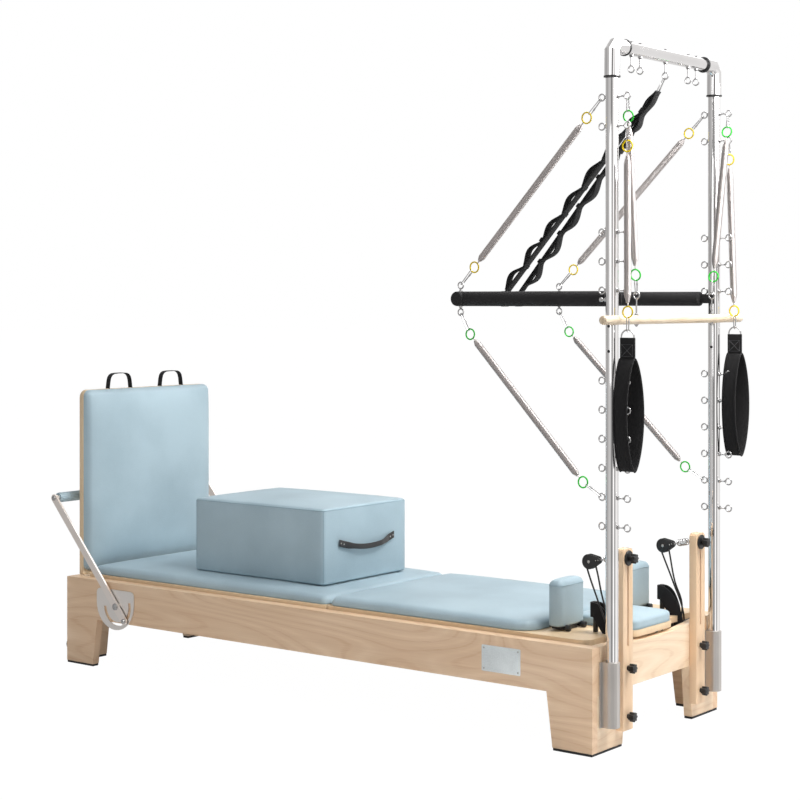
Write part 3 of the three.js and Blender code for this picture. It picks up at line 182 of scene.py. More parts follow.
# The room: a pale floor, a plain pale surround and soft lamps. Camera, mirror and glass rays
# that miss the object see plain white. Chrome mirrors bands of light and shade instead.
def seen_directly(graph):
    """1 for camera, mirror and glass rays, and 0 for the rays that light the object."""
    path = graph.node("LightPath").socket.node
    rays = [Signal(graph, path.outputs[ray])
            for ray in ("Is Camera Ray", "Is Glossy Ray", "Is Transmission Ray")]
    either = rays[0].maths("MAXIMUM", rays[0], rays[1])
    return either.maths("MAXIMUM", either, rays[2])


def studio_bands(graph, heading):
    """What chrome mirrors at each heading: pale walls, two dark flags and narrow bright lamps."""
    parts = graph.node("SeparateXYZ", sockets={0: heading}).socket.node
    x, y = Signal(graph, parts.outputs["X"]), Signal(graph, parts.outputs["Y"])
    share = graph.node("MapRange", sockets={"Value": y.maths("ARCTAN2", y, x),
                                            "From Min": -math.pi, "From Max": math.pi})
    levels = ((-180, 0.50), (-152, 0.42), (-128, 0.58), (-107, 0.66), (-86, 0.62), (-72, 0.24),
              (-50, 0.28), (-44, 1.30), (-28, 1.30), (-22, 0.34), (-12, 0.40), (4, 0.80), (24, 1.15),
              (48, 0.85), (82, 0.92), (130, 0.70), (180, 0.50))
    stops = [((degrees + 180) / 360, (level * 1.01, level * 0.995, level * 0.985, 1))
             for degrees, level in levels]
    return graph.node("ValToRGB", {"stops": stops}, {"Fac": share})


def white_or_bands(graph, heading):
    """Plain white, but the bands for mirror rays."""
    glossy = graph.node("LightPath", result="Is Glossy Ray")
    return graph.blend(glossy, (1, 1, 1, 1), studio_bands(graph, heading))


room_size = 60.0
white_share, paper_glow = 0.97, 1.025
paper_tones = ((0, (0.90, 0.90, 0.90, 1)), (1, (0.94, 0.94, 0.94, 1)))
floor_finish = Finish("studio_floor", Roughness=0.9)
floor_finish.wire(Base_Color=floor_finish.ramp(floor_finish.noise(floor_finish.place(), 3.0), *paper_tones))
away = floor_finish.node("VectorMath", {"operation": "SCALE"},
                         {0: floor_finish.node("NewGeometry", result="Incoming"), "Scale": -1.0})
paper = floor_finish.node("Emission", sockets={
    "Color": white_or_bands(floor_finish, away), "Strength": paper_glow})
lit_floor = Signal(floor_finish, floor_finish.shader.outputs["BSDF"])
floor_finish.feed(floor_finish.output.inputs["Surface"], floor_finish.node(
    "MixShader", sockets={0: seen_directly(floor_finish) * white_share, 1: lit_floor, 2: paper}))
floor_mesh = bmesh.new()
bmesh.ops.create_grid(floor_mesh, x_segments=1, y_segments=1, size=room_size)
floor_data = bpy.data.meshes.new("studio_floor")
floor_mesh.to_mesh(floor_data)
floor = bpy.data.objects.new("studio_floor", floor_data)
floor_data.materials.append(floor_finish.material)
scene.collection.objects.link(floor)

world = bpy.data.worlds.new("studio")
world.use_nodes = True
scene.world = world
sky = Graph(world.node_tree)
ambient = sky.node("Background", sockets={"Color": (0.93, 0.96, 1.0, 1), "Strength": 0.30})
backdrop = sky.node("Background", sockets={
    "Color": white_or_bands(sky, sky.node("TexCoord", result="Generated")), "Strength": 1.0})
horizon = sky.tree.nodes.new("ShaderNodeOutputWorld").inputs["Surface"]
sky.feed(horizon, sky.node("MixShader", sockets={0: seen_directly(sky), 1: ambient, 2: backdrop}))

for label, spot, size, power in (
        ("key_lamp", (2.0, 0.3, 2.8), 1.8, 98), ("top_lamp", (1.5, 0.4, 5.0), 3.6, 66),
        ("side_lamp", (1.4, -5.2, 2.4), 3.0, 31), ("back_lamp", (-1.2, 4.4, 4.2), 3.0, 40)):
    lamp = bpy.data.lights.new(label, "AREA")
    lamp.size = size
    lamp.energy = power
    holder = bpy.data.objects.new(label, lamp)
    holder.location = spot
    aim = Vector((0.1, 0, 0.7)) - Vector(spot)
    holder.rotation_euler = aim.to_track_quat("-Z", "Y").to_euler()
    scene.collection.objects.link(holder)


# The side and end boards of the frame: solid pale maple, planed square with eased edges,
# clear-lacquered and glued up from staves, with the legs as part of each board.
def maple(name, along, light=(242, 212, 180), dark=(222, 186, 150)):
    """Figured maple whose grain runs along one axis."""
    wood = Finish(name, Roughness=0.42, Coat_Weight=0.18, Coat_Roughness=0.25)
    figure = wood.noise(wood.place(grained(along, 9.0, 0.55)), 1.6, 4.0, 0.55, 0.9)
    pores = wood.noise(wood.place(grained(along, 150.0, 3.0)), 3.0, 2.0, 0.6)
    cloud = wood.noise(wood.place((1.3, 1.3, 1.3)), 1.2, 2.0)
    swirl = wood.noise(wood.place(grained(along, 4.5, 0.9)), 1.0, 1.0, 0.4, 0.4)
    rings = wood.node("Math", {"operation": "SINE"}, {0: swirl * 95.0}) * 0.5 + 0.5
    tone = figure * 0.50 + pores * 0.22 + cloud * 0.26 - 0.06 + rings ** 3.0 * 0.10
    middle = [(a + b) / 2 for a, b in zip(light, dark)]
    color = wood.ramp(tone, (0.30, paint(*dark)), (0.50, paint(*middle)), (0.66, paint(*light)))
    vein = wood.ramp(rings + pores * 0.25, (0.06, (1, 1, 1, 1)), (0.22, (0, 0, 0, 1)))
    color = wood.blend(vein * 0.30, color, paint(214, 176, 136), "MULTIPLY")
    wood.wire(Base_Color=color, Roughness=0.36 + pores * 0.16,
              Normal=wood.relief(pores * 0.6 + figure * 0.4, 0.00025, 0.5))
    return wood


def dress(node, finish, width=0.0):
    """Keeps a CAD node, welds its corners, eases its edges and gives it a material."""
    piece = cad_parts[node]
    piece.data.materials.clear()
    piece.data.materials.append(finish.material)
    if width:
        weld = piece.modifiers.new("weld", "WELD")
        weld.merge_threshold = 1e-5
        bevel = piece.modifiers.new("eased_edges", "BEVEL")
        bevel.width = width
        bevel.segments = 2
        bevel.limit_method = "ANGLE"
        bevel.angle_limit = math.radians(35)
    return piece


side_maple = maple("maple_side_board", 0)
# The end boards get a paler copy of the same maple. This is painted light standing in for the stronger light on
# the end faces, not a different wood.
lit_end_maple = maple("maple_end_board_painted_light", 1, (246, 224, 196), (230, 200, 166))
both_sides = (("near", -1), ("far", 1))
for side, sign in both_sides:
    dress("side_panel_" + side, side_maple, 0.0025)
dress("head_end_panel", lit_end_maple, 0.0022)
dress("foot_end_panel", lit_end_maple, 0.0022)


# Loose pieces are bmeshes in the frame's own metres. Each is given its material, rides on its
# body and stands for its CAD nodes in one call, and is smooth except at its sharp edges.
def add_piece(name, shape, finish, body, nodes=(), sharp=38):
    data = bpy.data.meshes.new(name)
    shape.to_mesh(data)
    shape.free()
    data.materials.append(finish.material)
    data.shade_smooth()
    data.set_sharp_from_angle(angle=math.radians(sharp))
    piece = bpy.data.objects.new(name, data)
    scene.collection.objects.link(piece)
    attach(piece, body)
    if nodes:
        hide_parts(*nodes)
    return piece


def ease(shape, width, segments=2, angle=30, edges=None):
    """Rounds the sharp edges of a shape."""
    limit = math.radians(angle)
    if edges is None:
        edges = [e for e in shape.edges if len(e.link_faces) == 2 and e.calc_face_angle(0) > limit]
    bmesh.ops.bevel(shape, geom=edges, offset=width, offset_type="OFFSET", affect="EDGES",
                    segments=segments, profile=0.5, material=-1, clamp_overlap=True)


def slab(shape, low, high, width=0.0, segments=2):
    """A block between two corners with its edges eased."""
    size = [b - a for a, b in zip(low, high)]
    centre = [(a + b) / 2 for a, b in zip(low, high)]
    part = bmesh.new()
    bmesh.ops.create_cube(part, size=1, matrix=Matrix.Translation(centre) @ Matrix.Diagonal((*size, 1)))
    if width:
        ease(part, width, segments)
    return merge(shape, part)


def merge(shape, part, matrix=None):
    """Adds a part to a shape, moved by a matrix."""
    if matrix is not None:
        bmesh.ops.transform(part, matrix=matrix, verts=part.verts)
    data = bpy.data.meshes.new("part")
    part.to_mesh(data)
    part.free()
    shape.from_mesh(data)
    bpy.data.meshes.remove(data)
    return shape


def facing(start, end):
    """The matrix that stands a shape made along +Z from start towards end."""
    line = Vector(end) - Vector(start)
    return Matrix.Translation(Vector(start)) @ line.to_track_quat("Z", "X").to_matrix().to_4x4()


def bar(shape, start, end, radius, end_radius=None, sides=24, width=0.0):
    """A round bar between two points, its rims eased by a width."""
    part = bmesh.new()
    length = (Vector(end) - Vector(start)).length
    bmesh.ops.create_cone(part, cap_ends=True, segments=sides, radius1=radius,
                          radius2=radius if end_radius is None else end_radius, depth=length,
                          matrix=Matrix.Translation((0, 0, length / 2)))
    if width:
        rims = [e for e in part.edges if any(len(f.verts) > 4 for f in e.link_faces)]
        ease(part, width, 2, edges=rims)
    return merge(shape, part, facing(start, end))


def turned(shape, profile, start, end, sides=24):
    """A lathed part: pairs of radius and height along the line from start towards end."""
    part = bmesh.new()
    corners = [part.verts.new((max(r, 0), 0, h)) for r, h in profile]
    edges = [part.edges.new(pair) for pair in zip(corners, corners[1:])]
    bmesh.ops.spin(part, geom=corners + edges, axis=(0, 0, 1), cent=(0, 0, 0), steps=sides,
                   angle=math.tau, use_merge=True)
    bmesh.ops.remove_doubles(part, verts=part.verts, dist=1e-6)
    bmesh.ops.recalc_face_normals(part, faces=part.faces)
    return merge(shape, part, facing(start, end))


def both_ends(end, length):
    """A closed lathe profile whose far end is its near end turned round."""
    return (*end, *((r, length - h) for r, h in reversed(end)), end[0])


def wire(shape, points, radius, sides=8, closed=False, smooth=False):
    """A round wire, tube or rope along points, made by a bevelled curve."""
    curve = bpy.data.curves.new("wire", "CURVE")
    curve.dimensions = "3D"
    curve.bevel_depth = radius
    curve.bevel_resolution = max(0, sides // 2 - 2)
    curve.use_fill_caps = not closed
    line = curve.splines.new("BEZIER" if smooth else "POLY")
    targets = line.bezier_points if smooth else line.points
    targets.add(len(points) - 1)
    for target, point in zip(targets, points):
        target.co = point if smooth else (*point, 1)
        if smooth:
            target.handle_left_type = target.handle_right_type = "AUTO"
    line.use_cyclic_u = closed
    line.resolution_u = 6
    holder = bpy.data.objects.new("wire", curve)
    mesh = bpy.data.meshes.new_from_object(holder)
    part = bmesh.new()
    part.from_mesh(mesh)
    bpy.data.objects.remove(holder)
    bpy.data.curves.remove(curve)
    bpy.data.meshes.remove(mesh)
    return merge(shape, part)


def arc_points(centre, u, v, radius, start=0.0, end=math.tau, steps=16, last=True):
    """Points of an arc in the plane of two unit directions."""
    c, u, v = Vector(centre), Vector(u), Vector(v)
    count = steps + 1 if last else steps
    angles = [start + (end - start) * i / steps for i in range(count)]
    return [c + u * (radius * math.cos(a)) + v * (radius * math.sin(a)) for a in angles]


def eye_ring(shape, centre, radius, thick, u=(1, 0, 0), v=(0, 0, 1), steps=20, sides=8):
    """A closed ring of round wire in the plane of two directions."""
    return wire(shape, arc_points(centre, u, v, radius, steps=steps, last=False), thick, sides, True)


def board(shape, outline, depth, matrix, width=0.0, segments=2, holes=()):
    """A flat board cut to an outline in XY, raised along +Z by a depth, then placed."""
    part = bmesh.new()
    loops = []
    for points in (outline, *holes):
        corners = [part.verts.new((a, b, 0)) for a, b in points]
        loops += [part.edges.new((corners[i - 1], corners[i])) for i in range(len(corners))]
    if holes:
        bmesh.ops.triangle_fill(part, edges=loops, use_beauty=True)
    else:
        bmesh.ops.contextual_create(part, geom=loops)
    raised = bmesh.ops.extrude_face_region(part, geom=part.faces[:])
    bmesh.ops.translate(part, vec=(0, 0, depth),
                        verts=[v for v in raised["geom"] if isinstance(v, bmesh.types.BMVert)])
    bmesh.ops.recalc_face_normals(part, faces=part.faces)
    if width:
        ease(part, width, segments)
    return merge(shape, part, matrix)


def rounded(low, high, radii, steps=6):
    """A rectangle's outline with round corners, from the corner of highest x and y, leftwards."""
    (x0, y0), (x1, y1) = low, high
    a, b, c, d = radii
    corners = ((x1 - a, y1 - a, a), (x0 + b, y1 - b, b), (x0 + c, y0 + c, c), (x1 - d, y0 + d, d))
    points = []
    for quarter, (x, y, r) in enumerate(corners):
        for i in range(steps + 1):
            angle = (quarter + i / steps) * math.pi / 2
            points.append((x + r * math.cos(angle), y + r * math.sin(angle)))
    return points


# Faces of a board: XZ stands it along the bed, YZ across the bed, XY lays it flat.
def plane_xz(y):
    return Matrix(((1, 0, 0, 0), (0, 0, -1, y), (0, 1, 0, 0), (0, 0, 0, 1)))


def plane_yz(x):
    return Matrix(((0, 0, 1, x), (1, 0, 0, 0), (0, 1, 0, 0), (0, 0, 0, 1)))


def plane_xy(z):
    return Matrix.Translation((0, 0, z))


# Black rubber soles under the four legs, moulded pads glued into the end grain.
def speckled(name, color, roughness, grain, height, **constants):
    """A moulded, cast or coated finish: a fine skin texture and a little colour drift."""
    skin = Finish(name, **constants)
    dots = skin.noise(skin.place(), grain, 2.0)
    drift = skin.noise(skin.place(), 7.0, 3.0)
    tones = (0.35, shade(color, 0.8)), (0.65, shade(color, 1.25))
    skin.wire(Base_Color=skin.ramp(drift * 0.6 + dots * 0.4, *tones),
              Roughness=roughness - 0.06 + drift * 0.12, Normal=skin.relief(dots, height, 0.6))
    return skin


rubber = speckled("sole_rubber", paint(34, 34, 35), 0.75, 900, 0.0002)
for side, sign in both_sides:
    for end in ("head", "foot"):
        dress("rubber_sole_%s_%s" % (end, side), rubber, 0.0015)

# Extruded aluminium track screwed inside each rail. The carriage rollers run on its ledge.
def metal(name, color, roughness, scratch=(40, 40, 40), height=0.00003, **constants):
    """Bare or plated metal: brushed or polished, with faint handling marks."""
    face = Finish(name, Metallic=1.0, **constants)
    lines = face.noise(face.place(scratch), 6.0, 3.0, 0.6)
    smudge = face.noise(face.place(), 9.0, 2.0)
    face.wire(Base_Color=face.ramp(smudge, (0.3, shade(color, 0.93)), (0.7, color)),
              Roughness=roughness + (smudge - 0.5) * 0.10 + (lines - 0.5) * 0.08,
              Normal=face.relief(lines, height, 0.25))
    return face


track_alloy = metal("anodised_track", paint(150, 150, 150), 0.42, (2, 60, 60))
for side, sign in both_sides:
    dress("carriage_track_" + side, track_alloy, 0.0006)

# Transport wheels: a grey plastic hub and a soft black tyre on a steel pin in the foot board.
tyre_rubber = speckled("tyre_rubber", paint(28, 28, 29), 0.7, 700, 0.0002)
hub_plastic = speckled("hub_plastic", paint(70, 70, 72), 0.45, 1500, 0.00008)
for side, sign in both_sides:
    body = "transport_wheel_" + side
    low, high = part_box(body)
    centre = (low + high) / 2
    wide, tall = (high.y - low.y) / 2, (high.z - low.z) / 2
    tyre, hub = bmesh.new(), bmesh.new()
    start = (centre.x, low.y, centre.z)
    turned(tyre, ((0.013, 0.001), (tall - 0.004, 0), (tall - 0.001, 0.0025), (tall, wide),
                  (tall - 0.001, 2 * wide - 0.0025), (tall - 0.004, 2 * wide), (0.013, 2 * wide - 0.001),
                  (0.013, 0.001)), start, (start[0], high.y, start[2]), 36)
    hub_end = ((0.0044, 0.0005), (0.0075, 0.0005), (0.008, 0.003), (0.012, 0.003), (0.0129, 0.0015))
    turned(hub, both_ends(hub_end, 2 * wide), start, (start[0], high.y, start[2]), 30)
    add_piece("wheel_tyre_" + side, tyre, tyre_rubber, body, [body])
    add_piece("wheel_hub_" + side, hub, hub_plastic, body)

# Bare name plate: white enamelled aluminium, screwed to the near side board by four screws.
plate_enamel = speckled("plate_enamel", paint(226, 232, 232), 0.3, 800, 0.00002, Coat_Weight=0.4)
screw_steel = metal("screw_steel", paint(188, 186, 182), 0.3)
plate_shape, plate_screws = bmesh.new(), bmesh.new()
plate_low, plate_high, plate_wall = (0.7455, 0.214), (0.8935, 0.297), 0.0015
rail_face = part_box("side_panel_near")[0].y
board(plate_shape, rounded(plate_low, plate_high, (0.004,) * 4), plate_wall, plane_xz(rail_face), 0.0004)
for x in (plate_low[0] + 0.009, plate_high[0] - 0.009):
    for z in (plate_low[1] + 0.009, plate_high[1] - 0.009):
        turned(plate_screws, ((0, 0.0019), (0.0014, 0.0019), (0.0030, 0.0008), (0.0030, 0), (0, 0)),
               (x, rail_face - plate_wall, z), (x, rail_face - 1, z), 16)
add_piece("name_plate", plate_shape, plate_enamel, "frame")
add_piece("name_plate_screws", plate_screws, screw_steel, "frame")

# Footbar: flat steel arms that turn on a pivot through each quadrant plate, a lock pin in the
# slot, and a foam-padded cross bar in the same vinyl as the cushions.
arm_steel = metal("satin_arm_steel", paint(240, 232, 226), 0.36, (30, 30, 30))
quadrant_alloy = metal("quadrant_alloy", paint(232, 228, 224), 0.4, (30, 30, 30))
pin_steel = metal("pin_steel", paint(176, 176, 176), 0.22)
for side, sign in both_sides:
    dress("footbar_quadrant_" + side, quadrant_alloy, 0.0006)
dress("footbar", arm_steel, 0.001)
pivot = Vector((-0.9195, 0, 0.243))
bar_tip = Vector((-1.2605, 0, 0.627))
arm_line = (bar_tip - pivot).normalized()
footbar_low, footbar_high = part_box("footbar")
bolts = bmesh.new()
for edge, way in ((footbar_low.y, -1), (footbar_high.y, 1)):
    for spot, radius, depth in ((pivot, 0.013, 0.005), (pivot - arm_line * 0.066, 0.0085, 0.007),
                                (bar_tip, 0.010, 0.003)):
        turned(bolts, ((0, depth), (radius * 0.7, depth), (radius * 0.95, depth * 0.6), (radius, 0), (0, 0)),
               (spot.x, edge, spot.z), (spot.x, edge + way, spot.z), 24)
        turned(bolts, ((0, depth + 0.002), (radius * 0.3, depth + 0.0018), (radius * 0.38, depth), (0, depth)),
               (spot.x, edge, spot.z), (spot.x, edge + way, spot.z), 6)
add_piece("footbar_bolts", bolts, pin_steel, "footbar")


# Upholstery: foam over board, covered in soft pale blue vinyl with a fine linen-like emboss.
# Covers are cut, sewn at the rim and pulled tight, so the tops crown and the sides draw in.
def vinyl(name, light=(177, 198, 207), dark=(151, 172, 182)):
    cover = Finish(name, Sheen_Weight=0.12, Sheen_Roughness=0.4, Specular_IOR_Level=0.45)
    place = cover.place()
    warp = cover.noise(cover.place((1, 0.16, 1)), 900, 2.0)
    weft = cover.noise(cover.place((0.16, 1, 1)), 900, 2.0)
    leather = cover.noise(place, 420, 3.0)
    drift = cover.noise(place, 3.2, 3.0)
    emboss = cover.node("Math", {"operation": "MAXIMUM"}, {0: warp, 1: weft}) * 0.7 + leather * 0.3
    tone = drift * 0.55 + emboss * 0.35 + 0.06
    cover.wire(Base_Color=cover.ramp(tone, (0.34, paint(*dark)), (0.62, paint(*light))),
               Roughness=0.44 + emboss * 0.16, Normal=cover.relief(emboss, 0.00035, 0.55))
    return cover


def four(corner):
    """One radius for each corner, from one number or four."""
    return corner if isinstance(corner, tuple) else (corner,) * 4


def cushion(size, corner, edge, crown, draw, cells, hump):
    """A padded block on z = 0 about the z axis, its rim rounded and its top crowned."""
    length, width, height = size
    shape = bmesh.new()
    body = height - crown
    bmesh.ops.create_cube(shape, size=1, matrix=Matrix.Translation((0, 0, body / 2))
                          @ Matrix.Diagonal((length, width, body, 1)))

    def rim_at(level):
        return [e for e in shape.edges if all(abs(v.co.z - level) < 1e-5 for v in e.verts)
                and any(abs(f.normal.z) < 0.5 for f in e.link_faces)]

    def cut(point, normal):
        bmesh.ops.bisect_plane(shape, geom=shape.verts[:] + shape.edges[:] + shape.faces[:],
                               plane_co=point, plane_no=normal, dist=1e-5)

    for way_x, way_y, radius in zip((1, -1, -1, 1), (1, 1, -1, -1), four(corner)):
        upright = [e for e in shape.edges if abs(e.verts[0].co.z - e.verts[1].co.z) > 0.001
                   and all(v.co.x * way_x > length / 2 - 1e-4 for v in e.verts)
                   and all(v.co.y * way_y > width / 2 - 1e-4 for v in e.verts)]
        ease(shape, radius, 7, edges=upright)
    ease(shape, edge, 5, edges=rim_at(body))
    ease(shape, min(edge * 0.45, body * 0.3), 3, edges=rim_at(0))
    for i in range(1, cells[0]):
        cut((length * (i / cells[0] - 0.5), 0, 0), (1, 0, 0))
    for i in range(1, cells[1]):
        cut((0, width * (i / cells[1] - 0.5), 0), (0, 1, 0))
    for level in (0.35, 0.65):
        cut((0, 0, body * level), (0, 0, 1))
    side_band, flat_share = 0.9, 0.3
    for vert in shape.verts:
        u = min(1, abs(vert.co.x) / (length / 2))
        v = min(1, abs(vert.co.y) / (width / 2))
        share = vert.co.z / body
        belly = draw * math.sin(math.pi * min(1, max(0, share))) / (1 - side_band)
        if v > side_band:
            vert.co.y -= math.copysign((1 - u ** 4) * belly * (v - side_band), vert.co.y)
        if u > side_band:
            vert.co.x -= math.copysign((1 - v ** 4) * belly * (u - side_band), vert.co.x)
        lift = max(0, share - flat_share) / (1 - flat_share)
        vert.co.z += crown * (1 - u ** hump) * (1 - v ** hump) * lift
    bmesh.ops.recalc_face_normals(shape, faces=shape.faces)
    return shape


def rim(size, corner, inset, height, bow):
    """The line round a cushion at one height, inset from its sides. Long sides bow inwards."""
    length, width = size[0] / 2 - inset, size[1] / 2 - inset
    corners = [max(c - inset, c * 0.4) for c in four(corner)]
    outline = rounded((-length, -width), (length, width), corners, 7)
    points, long_side, pieces = [], 0.06, 8
    for (x, y), (next_x, next_y) in zip(outline, outline[1:] + outline[:1]):
        points.append(Vector((x, y, height)))
        step_x, step_y = next_x - x, next_y - y
        if math.hypot(step_x, step_y) > long_side:
            for t in (k / pieces for k in range(1, pieces)):
                sag = bow * (1 - (2 * t - 1) ** 4)
                point = Vector((x + step_x * t, y + step_y * t, height))
                bowed = 1 if abs(step_x) > abs(step_y) else 0
                point[bowed] -= math.copysign(sag, point[bowed])
                points.append(point)
    return points


plain_vinyl = vinyl("blue_vinyl")
seam_vinyl = vinyl("blue_vinyl_seam", (160, 184, 195), (138, 162, 173))


def upholster(name, size, corner, edge, crown, draw, matrix, body, node, cells, seams,
              seam_radius=0.0012, hump=2.4):
    """A cushion with its sewn rims, placed by a matrix."""
    shape = cushion(size, corner, edge, crown, draw, cells, hump)
    bmesh.ops.transform(shape, matrix=matrix, verts=shape.verts)
    piece = add_piece(name, shape, plain_vinyl, body, [node], sharp=60)
    line = bmesh.new()
    for level, inset in seams:
        height = level * (size[2] - crown)
        belly = draw * math.sin(math.pi * level)
        wire(line, rim(size, corner, inset, height, belly), seam_radius, 6, True)
    bmesh.ops.transform(line, matrix=matrix, verts=line.verts)
    add_piece(name + "_seam", line, seam_vinyl, body)


# Birch plywood boards: pale rotary-cut faces, and edges that show the plies as thin stripes.
def plywood(name, across, ply=0.0016, light=(238, 214, 180), dark=(222, 193, 155), along=0):
    wood = Finish(name, Roughness=0.45, Coat_Weight=0.12, Coat_Roughness=0.3)
    figure = wood.noise(wood.place(grained(along, 7.0, 0.8)), 2.0, 4.0, 0.55, 0.7)
    own = wood.node("TexCoord", result="Object")
    depth = wood.node("SeparateXYZ", sockets={0: own}, result=across)
    plies = wood.node("Math", {"operation": "PINGPONG"}, {0: depth, 1: ply})
    stripe = plies / ply
    tone = figure * 0.7 + stripe * 0.3
    wood.wire(Base_Color=wood.ramp(tone, (0.32, paint(*dark)), (0.68, paint(*light))),
              Roughness=0.40 + figure * 0.14, Normal=wood.relief(figure, 0.0002, 0.4))
    return wood


flat_ply = plywood("deck_plywood", 2)
upright_ply = plywood("jump_board_plywood", 0, along=2)
riser_ply = plywood("riser_plywood", 1, along=2, light=(240, 210, 176), dark=(224, 188, 150))

# Mat insert: a padded plywood panel that lies on the tracks over the springs.
mat_low, mat_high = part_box("mat_insert")
deck_top, board_wall, pad_half = 0.342, 0.020, 0.350
pad_crown, pad_edge, pad_draw, pad_corner = 0.013, 0.024, 0.001, 0.030
pad_fill, pad_hump, pad_seams = 0.8, 6, ((0.10, 0.001),)
mat_board = bmesh.new()
slab(mat_board, (mat_low.x, mat_low.y, deck_top - board_wall), (mat_high.x, mat_high.y, deck_top), 0.0012)
add_piece("mat_board", mat_board, flat_ply, "mat")
mat_size = (mat_high.x - mat_low.x, 2 * pad_half, mat_high.z - deck_top)
upholster("mat_cushion", mat_size, pad_corner, pad_edge, pad_crown, pad_draw,
          Matrix.Translation(((mat_low.x + mat_high.x) / 2, 0, deck_top)), "mat", "mat_insert",
          (30, 18), pad_seams, hump=pad_hump)

# Carriage: a plywood deck on four rollers, with pegs for the foot loops, under its own pad.
dress("carriage_deck", flat_ply, 0.0008)
pad_low, pad_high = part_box("carriage_pad")
head_corner = 0.075
carriage_size = (pad_high.x - pad_low.x, 2 * pad_half, pad_high.z - pad_low.z)
upholster("carriage_cushion", carriage_size, (head_corner, pad_corner, pad_corner, head_corner), pad_edge,
          pad_crown, pad_draw, Matrix.Translation(((pad_low.x + pad_high.x) / 2, 0, pad_low.z)),
          "carriage", "carriage_pad", (26, 18), pad_seams, hump=pad_hump)

roller_tyre = speckled("roller_tyre", paint(52, 52, 54), 0.5, 900, 0.0001)
for side, sign in both_sides:
    for end in ("head", "foot"):
        corner = "roller_%s_%s" % (end, side)
        low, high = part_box("carriage_" + corner)
        x, z = (low.x + high.x) / 2, (low.z + high.z) / 2
        outer = high.y if sign > 0 else low.y
        roller = bmesh.new()
        profile = ((0, 0.0), (0.005, 0.0), (0.006, 0.0015), (0.014, 0.0015), (0.0155, 0), (0.020, 0),
                   (0.022, 0.002), (0.022, 0.014), (0.020, 0.016), (0.0155, 0.016), (0.014, 0.0145),
                   (0.004, 0.0145), (0.004, high.y - low.y), (0, high.y - low.y))
        turned(roller, profile, (x, outer, z), (x, outer - sign, z), 32)
        add_piece(corner, roller, roller_tyre, corner, ["carriage_" + corner])

spring_bar_steel = metal("spring_bar_steel", paint(170, 170, 170), 0.3)
dress("spring_bar", spring_bar_steel, 0.0008)

# Headrest: a plywood flap in the head of the deck, padded, on a barrel hinge at its back edge.
rest_low, rest_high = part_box("headrest")
flap = bmesh.new()
flap_back, flap_front, flap_corner, hinge_half, hinge_radius = 0.9035, 1.1435, 0.034, 0.040, 0.004
flap_outline = rounded((flap_back, rest_low.y), (flap_front, rest_high.y),
                       (flap_corner, 0.008, 0.008, flap_corner))
board(flap, flap_outline, board_wall, plane_xy(deck_top - board_wall), 0.001)
hinge_x, hinge_z = flap_back - 0.003, deck_top - hinge_radius
bar(flap, (hinge_x, -hinge_half, hinge_z), (hinge_x, hinge_half, hinge_z), hinge_radius, sides=20)
add_piece("headrest_board", flap, flat_ply, "headrest")
head_start, head_end, head_inset = flap_back + 0.012, flap_front - 0.003, 0.006
head_size = (head_end - head_start, rest_high.y - rest_low.y - head_inset, rest_high.z - deck_top)
upholster("headrest_cushion", head_size, (flap_corner, 0.010, 0.010, flap_corner), 0.020, 0.012, pad_draw,
          Matrix.Translation(((head_start + head_end) / 2, 0, deck_top)), "headrest", "headrest",
          (14, 14), ((0.08, 0.001),), hump=4)

# Shoulder rests: firm upholstered blocks on black steel brackets that drop into the deck.
bracket_black = speckled("bracket_black", paint(30, 30, 31), 0.42, 1200, 0.00005)
rest_gap, stem_low, knob_out, knob_pitch = 0.014, 0.3303, 0.044, 0.046
for side, sign in both_sides:
    body = "shoulder_rest_" + side
    low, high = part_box(body)
    x, y, base = (low.x + high.x) / 2, (low.y + high.y) / 2, deck_top + rest_gap
    upholster("shoulder_cushion_" + side, (high.x - low.x, high.y - low.y, high.z - base), 0.020, 0.018, 0.006,
              0.002, Matrix.Translation((x, y, base)), body, body, (6, 8), ((0.03, 0.003), (0.90, 0.0)))
    foot = bmesh.new()
    slab(foot, (x - 0.022, y - 0.030, deck_top + 0.0003), (x + 0.022, y + 0.030, base + 0.002), 0.001)
    slab(foot, (x - 0.025, y - 0.062, base - 0.003), (x + 0.025, y + 0.062, base), 0.001)
    knob_height, rod_height = deck_top + 0.0105, deck_top + 0.0075
    for spot in (y - knob_pitch, y + knob_pitch):
        bar(foot, (x + 0.028, spot, knob_height), (x + knob_out, spot, knob_height), 0.0098, sides=20,
            width=0.002)
        bar(foot, (x - 0.022, spot, rod_height), (x + 0.032, spot, rod_height), 0.0045, sides=16)
    bar(foot, (x, y, stem_low), (x, y, base), 0.006, sides=20, width=0.001)
    add_piece("shoulder_bracket_" + side, foot, bracket_black, body)

# Jump board: a plywood panel in the foot end, padded in front, with two webbing carry loops.
jump_low, jump_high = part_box("jump_board")
jump_pad_low, jump_pad_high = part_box("jump_board_pad")
panel_wall, panel_half, panel_low, panel_top = 0.022, 0.340, 0.3303, 1.043
panel_back, panel_front = jump_low.x, jump_low.x + panel_wall
panel = bmesh.new()
panel_outline = rounded((-panel_half, panel_low), (panel_half, panel_top), (0.030, 0.030, 0.003, 0.003))
board(panel, panel_outline, panel_wall, plane_yz(panel_back), 0.0012)
add_piece("jump_board_panel", panel, upright_ply, "jump", ["jump_board"])
prong_steel = speckled("prong_black", paint(36, 36, 37), 0.4, 1100, 0.00005)
prongs = bmesh.new()
prong_y, prong_half, prong_wall, prong_drop = 0.190, 0.015, 0.006, 0.070
for sign in (-1, 1):
    y0, y1, prong_top = sign * prong_y - prong_half, sign * prong_y + prong_half, panel_low + prong_wall
    slab(prongs, (panel_front - 0.002, y0, panel_low), (jump_high.x, y1, prong_top), 0.0012)
    slab(prongs, (jump_high.x - prong_wall, y0, panel_low - prong_drop), (jump_high.x, y1, prong_top), 0.0012)
add_piece("jump_board_prongs", prongs, prong_steel, "jump")
jump_size = tuple(reversed(jump_pad_high - jump_pad_low))
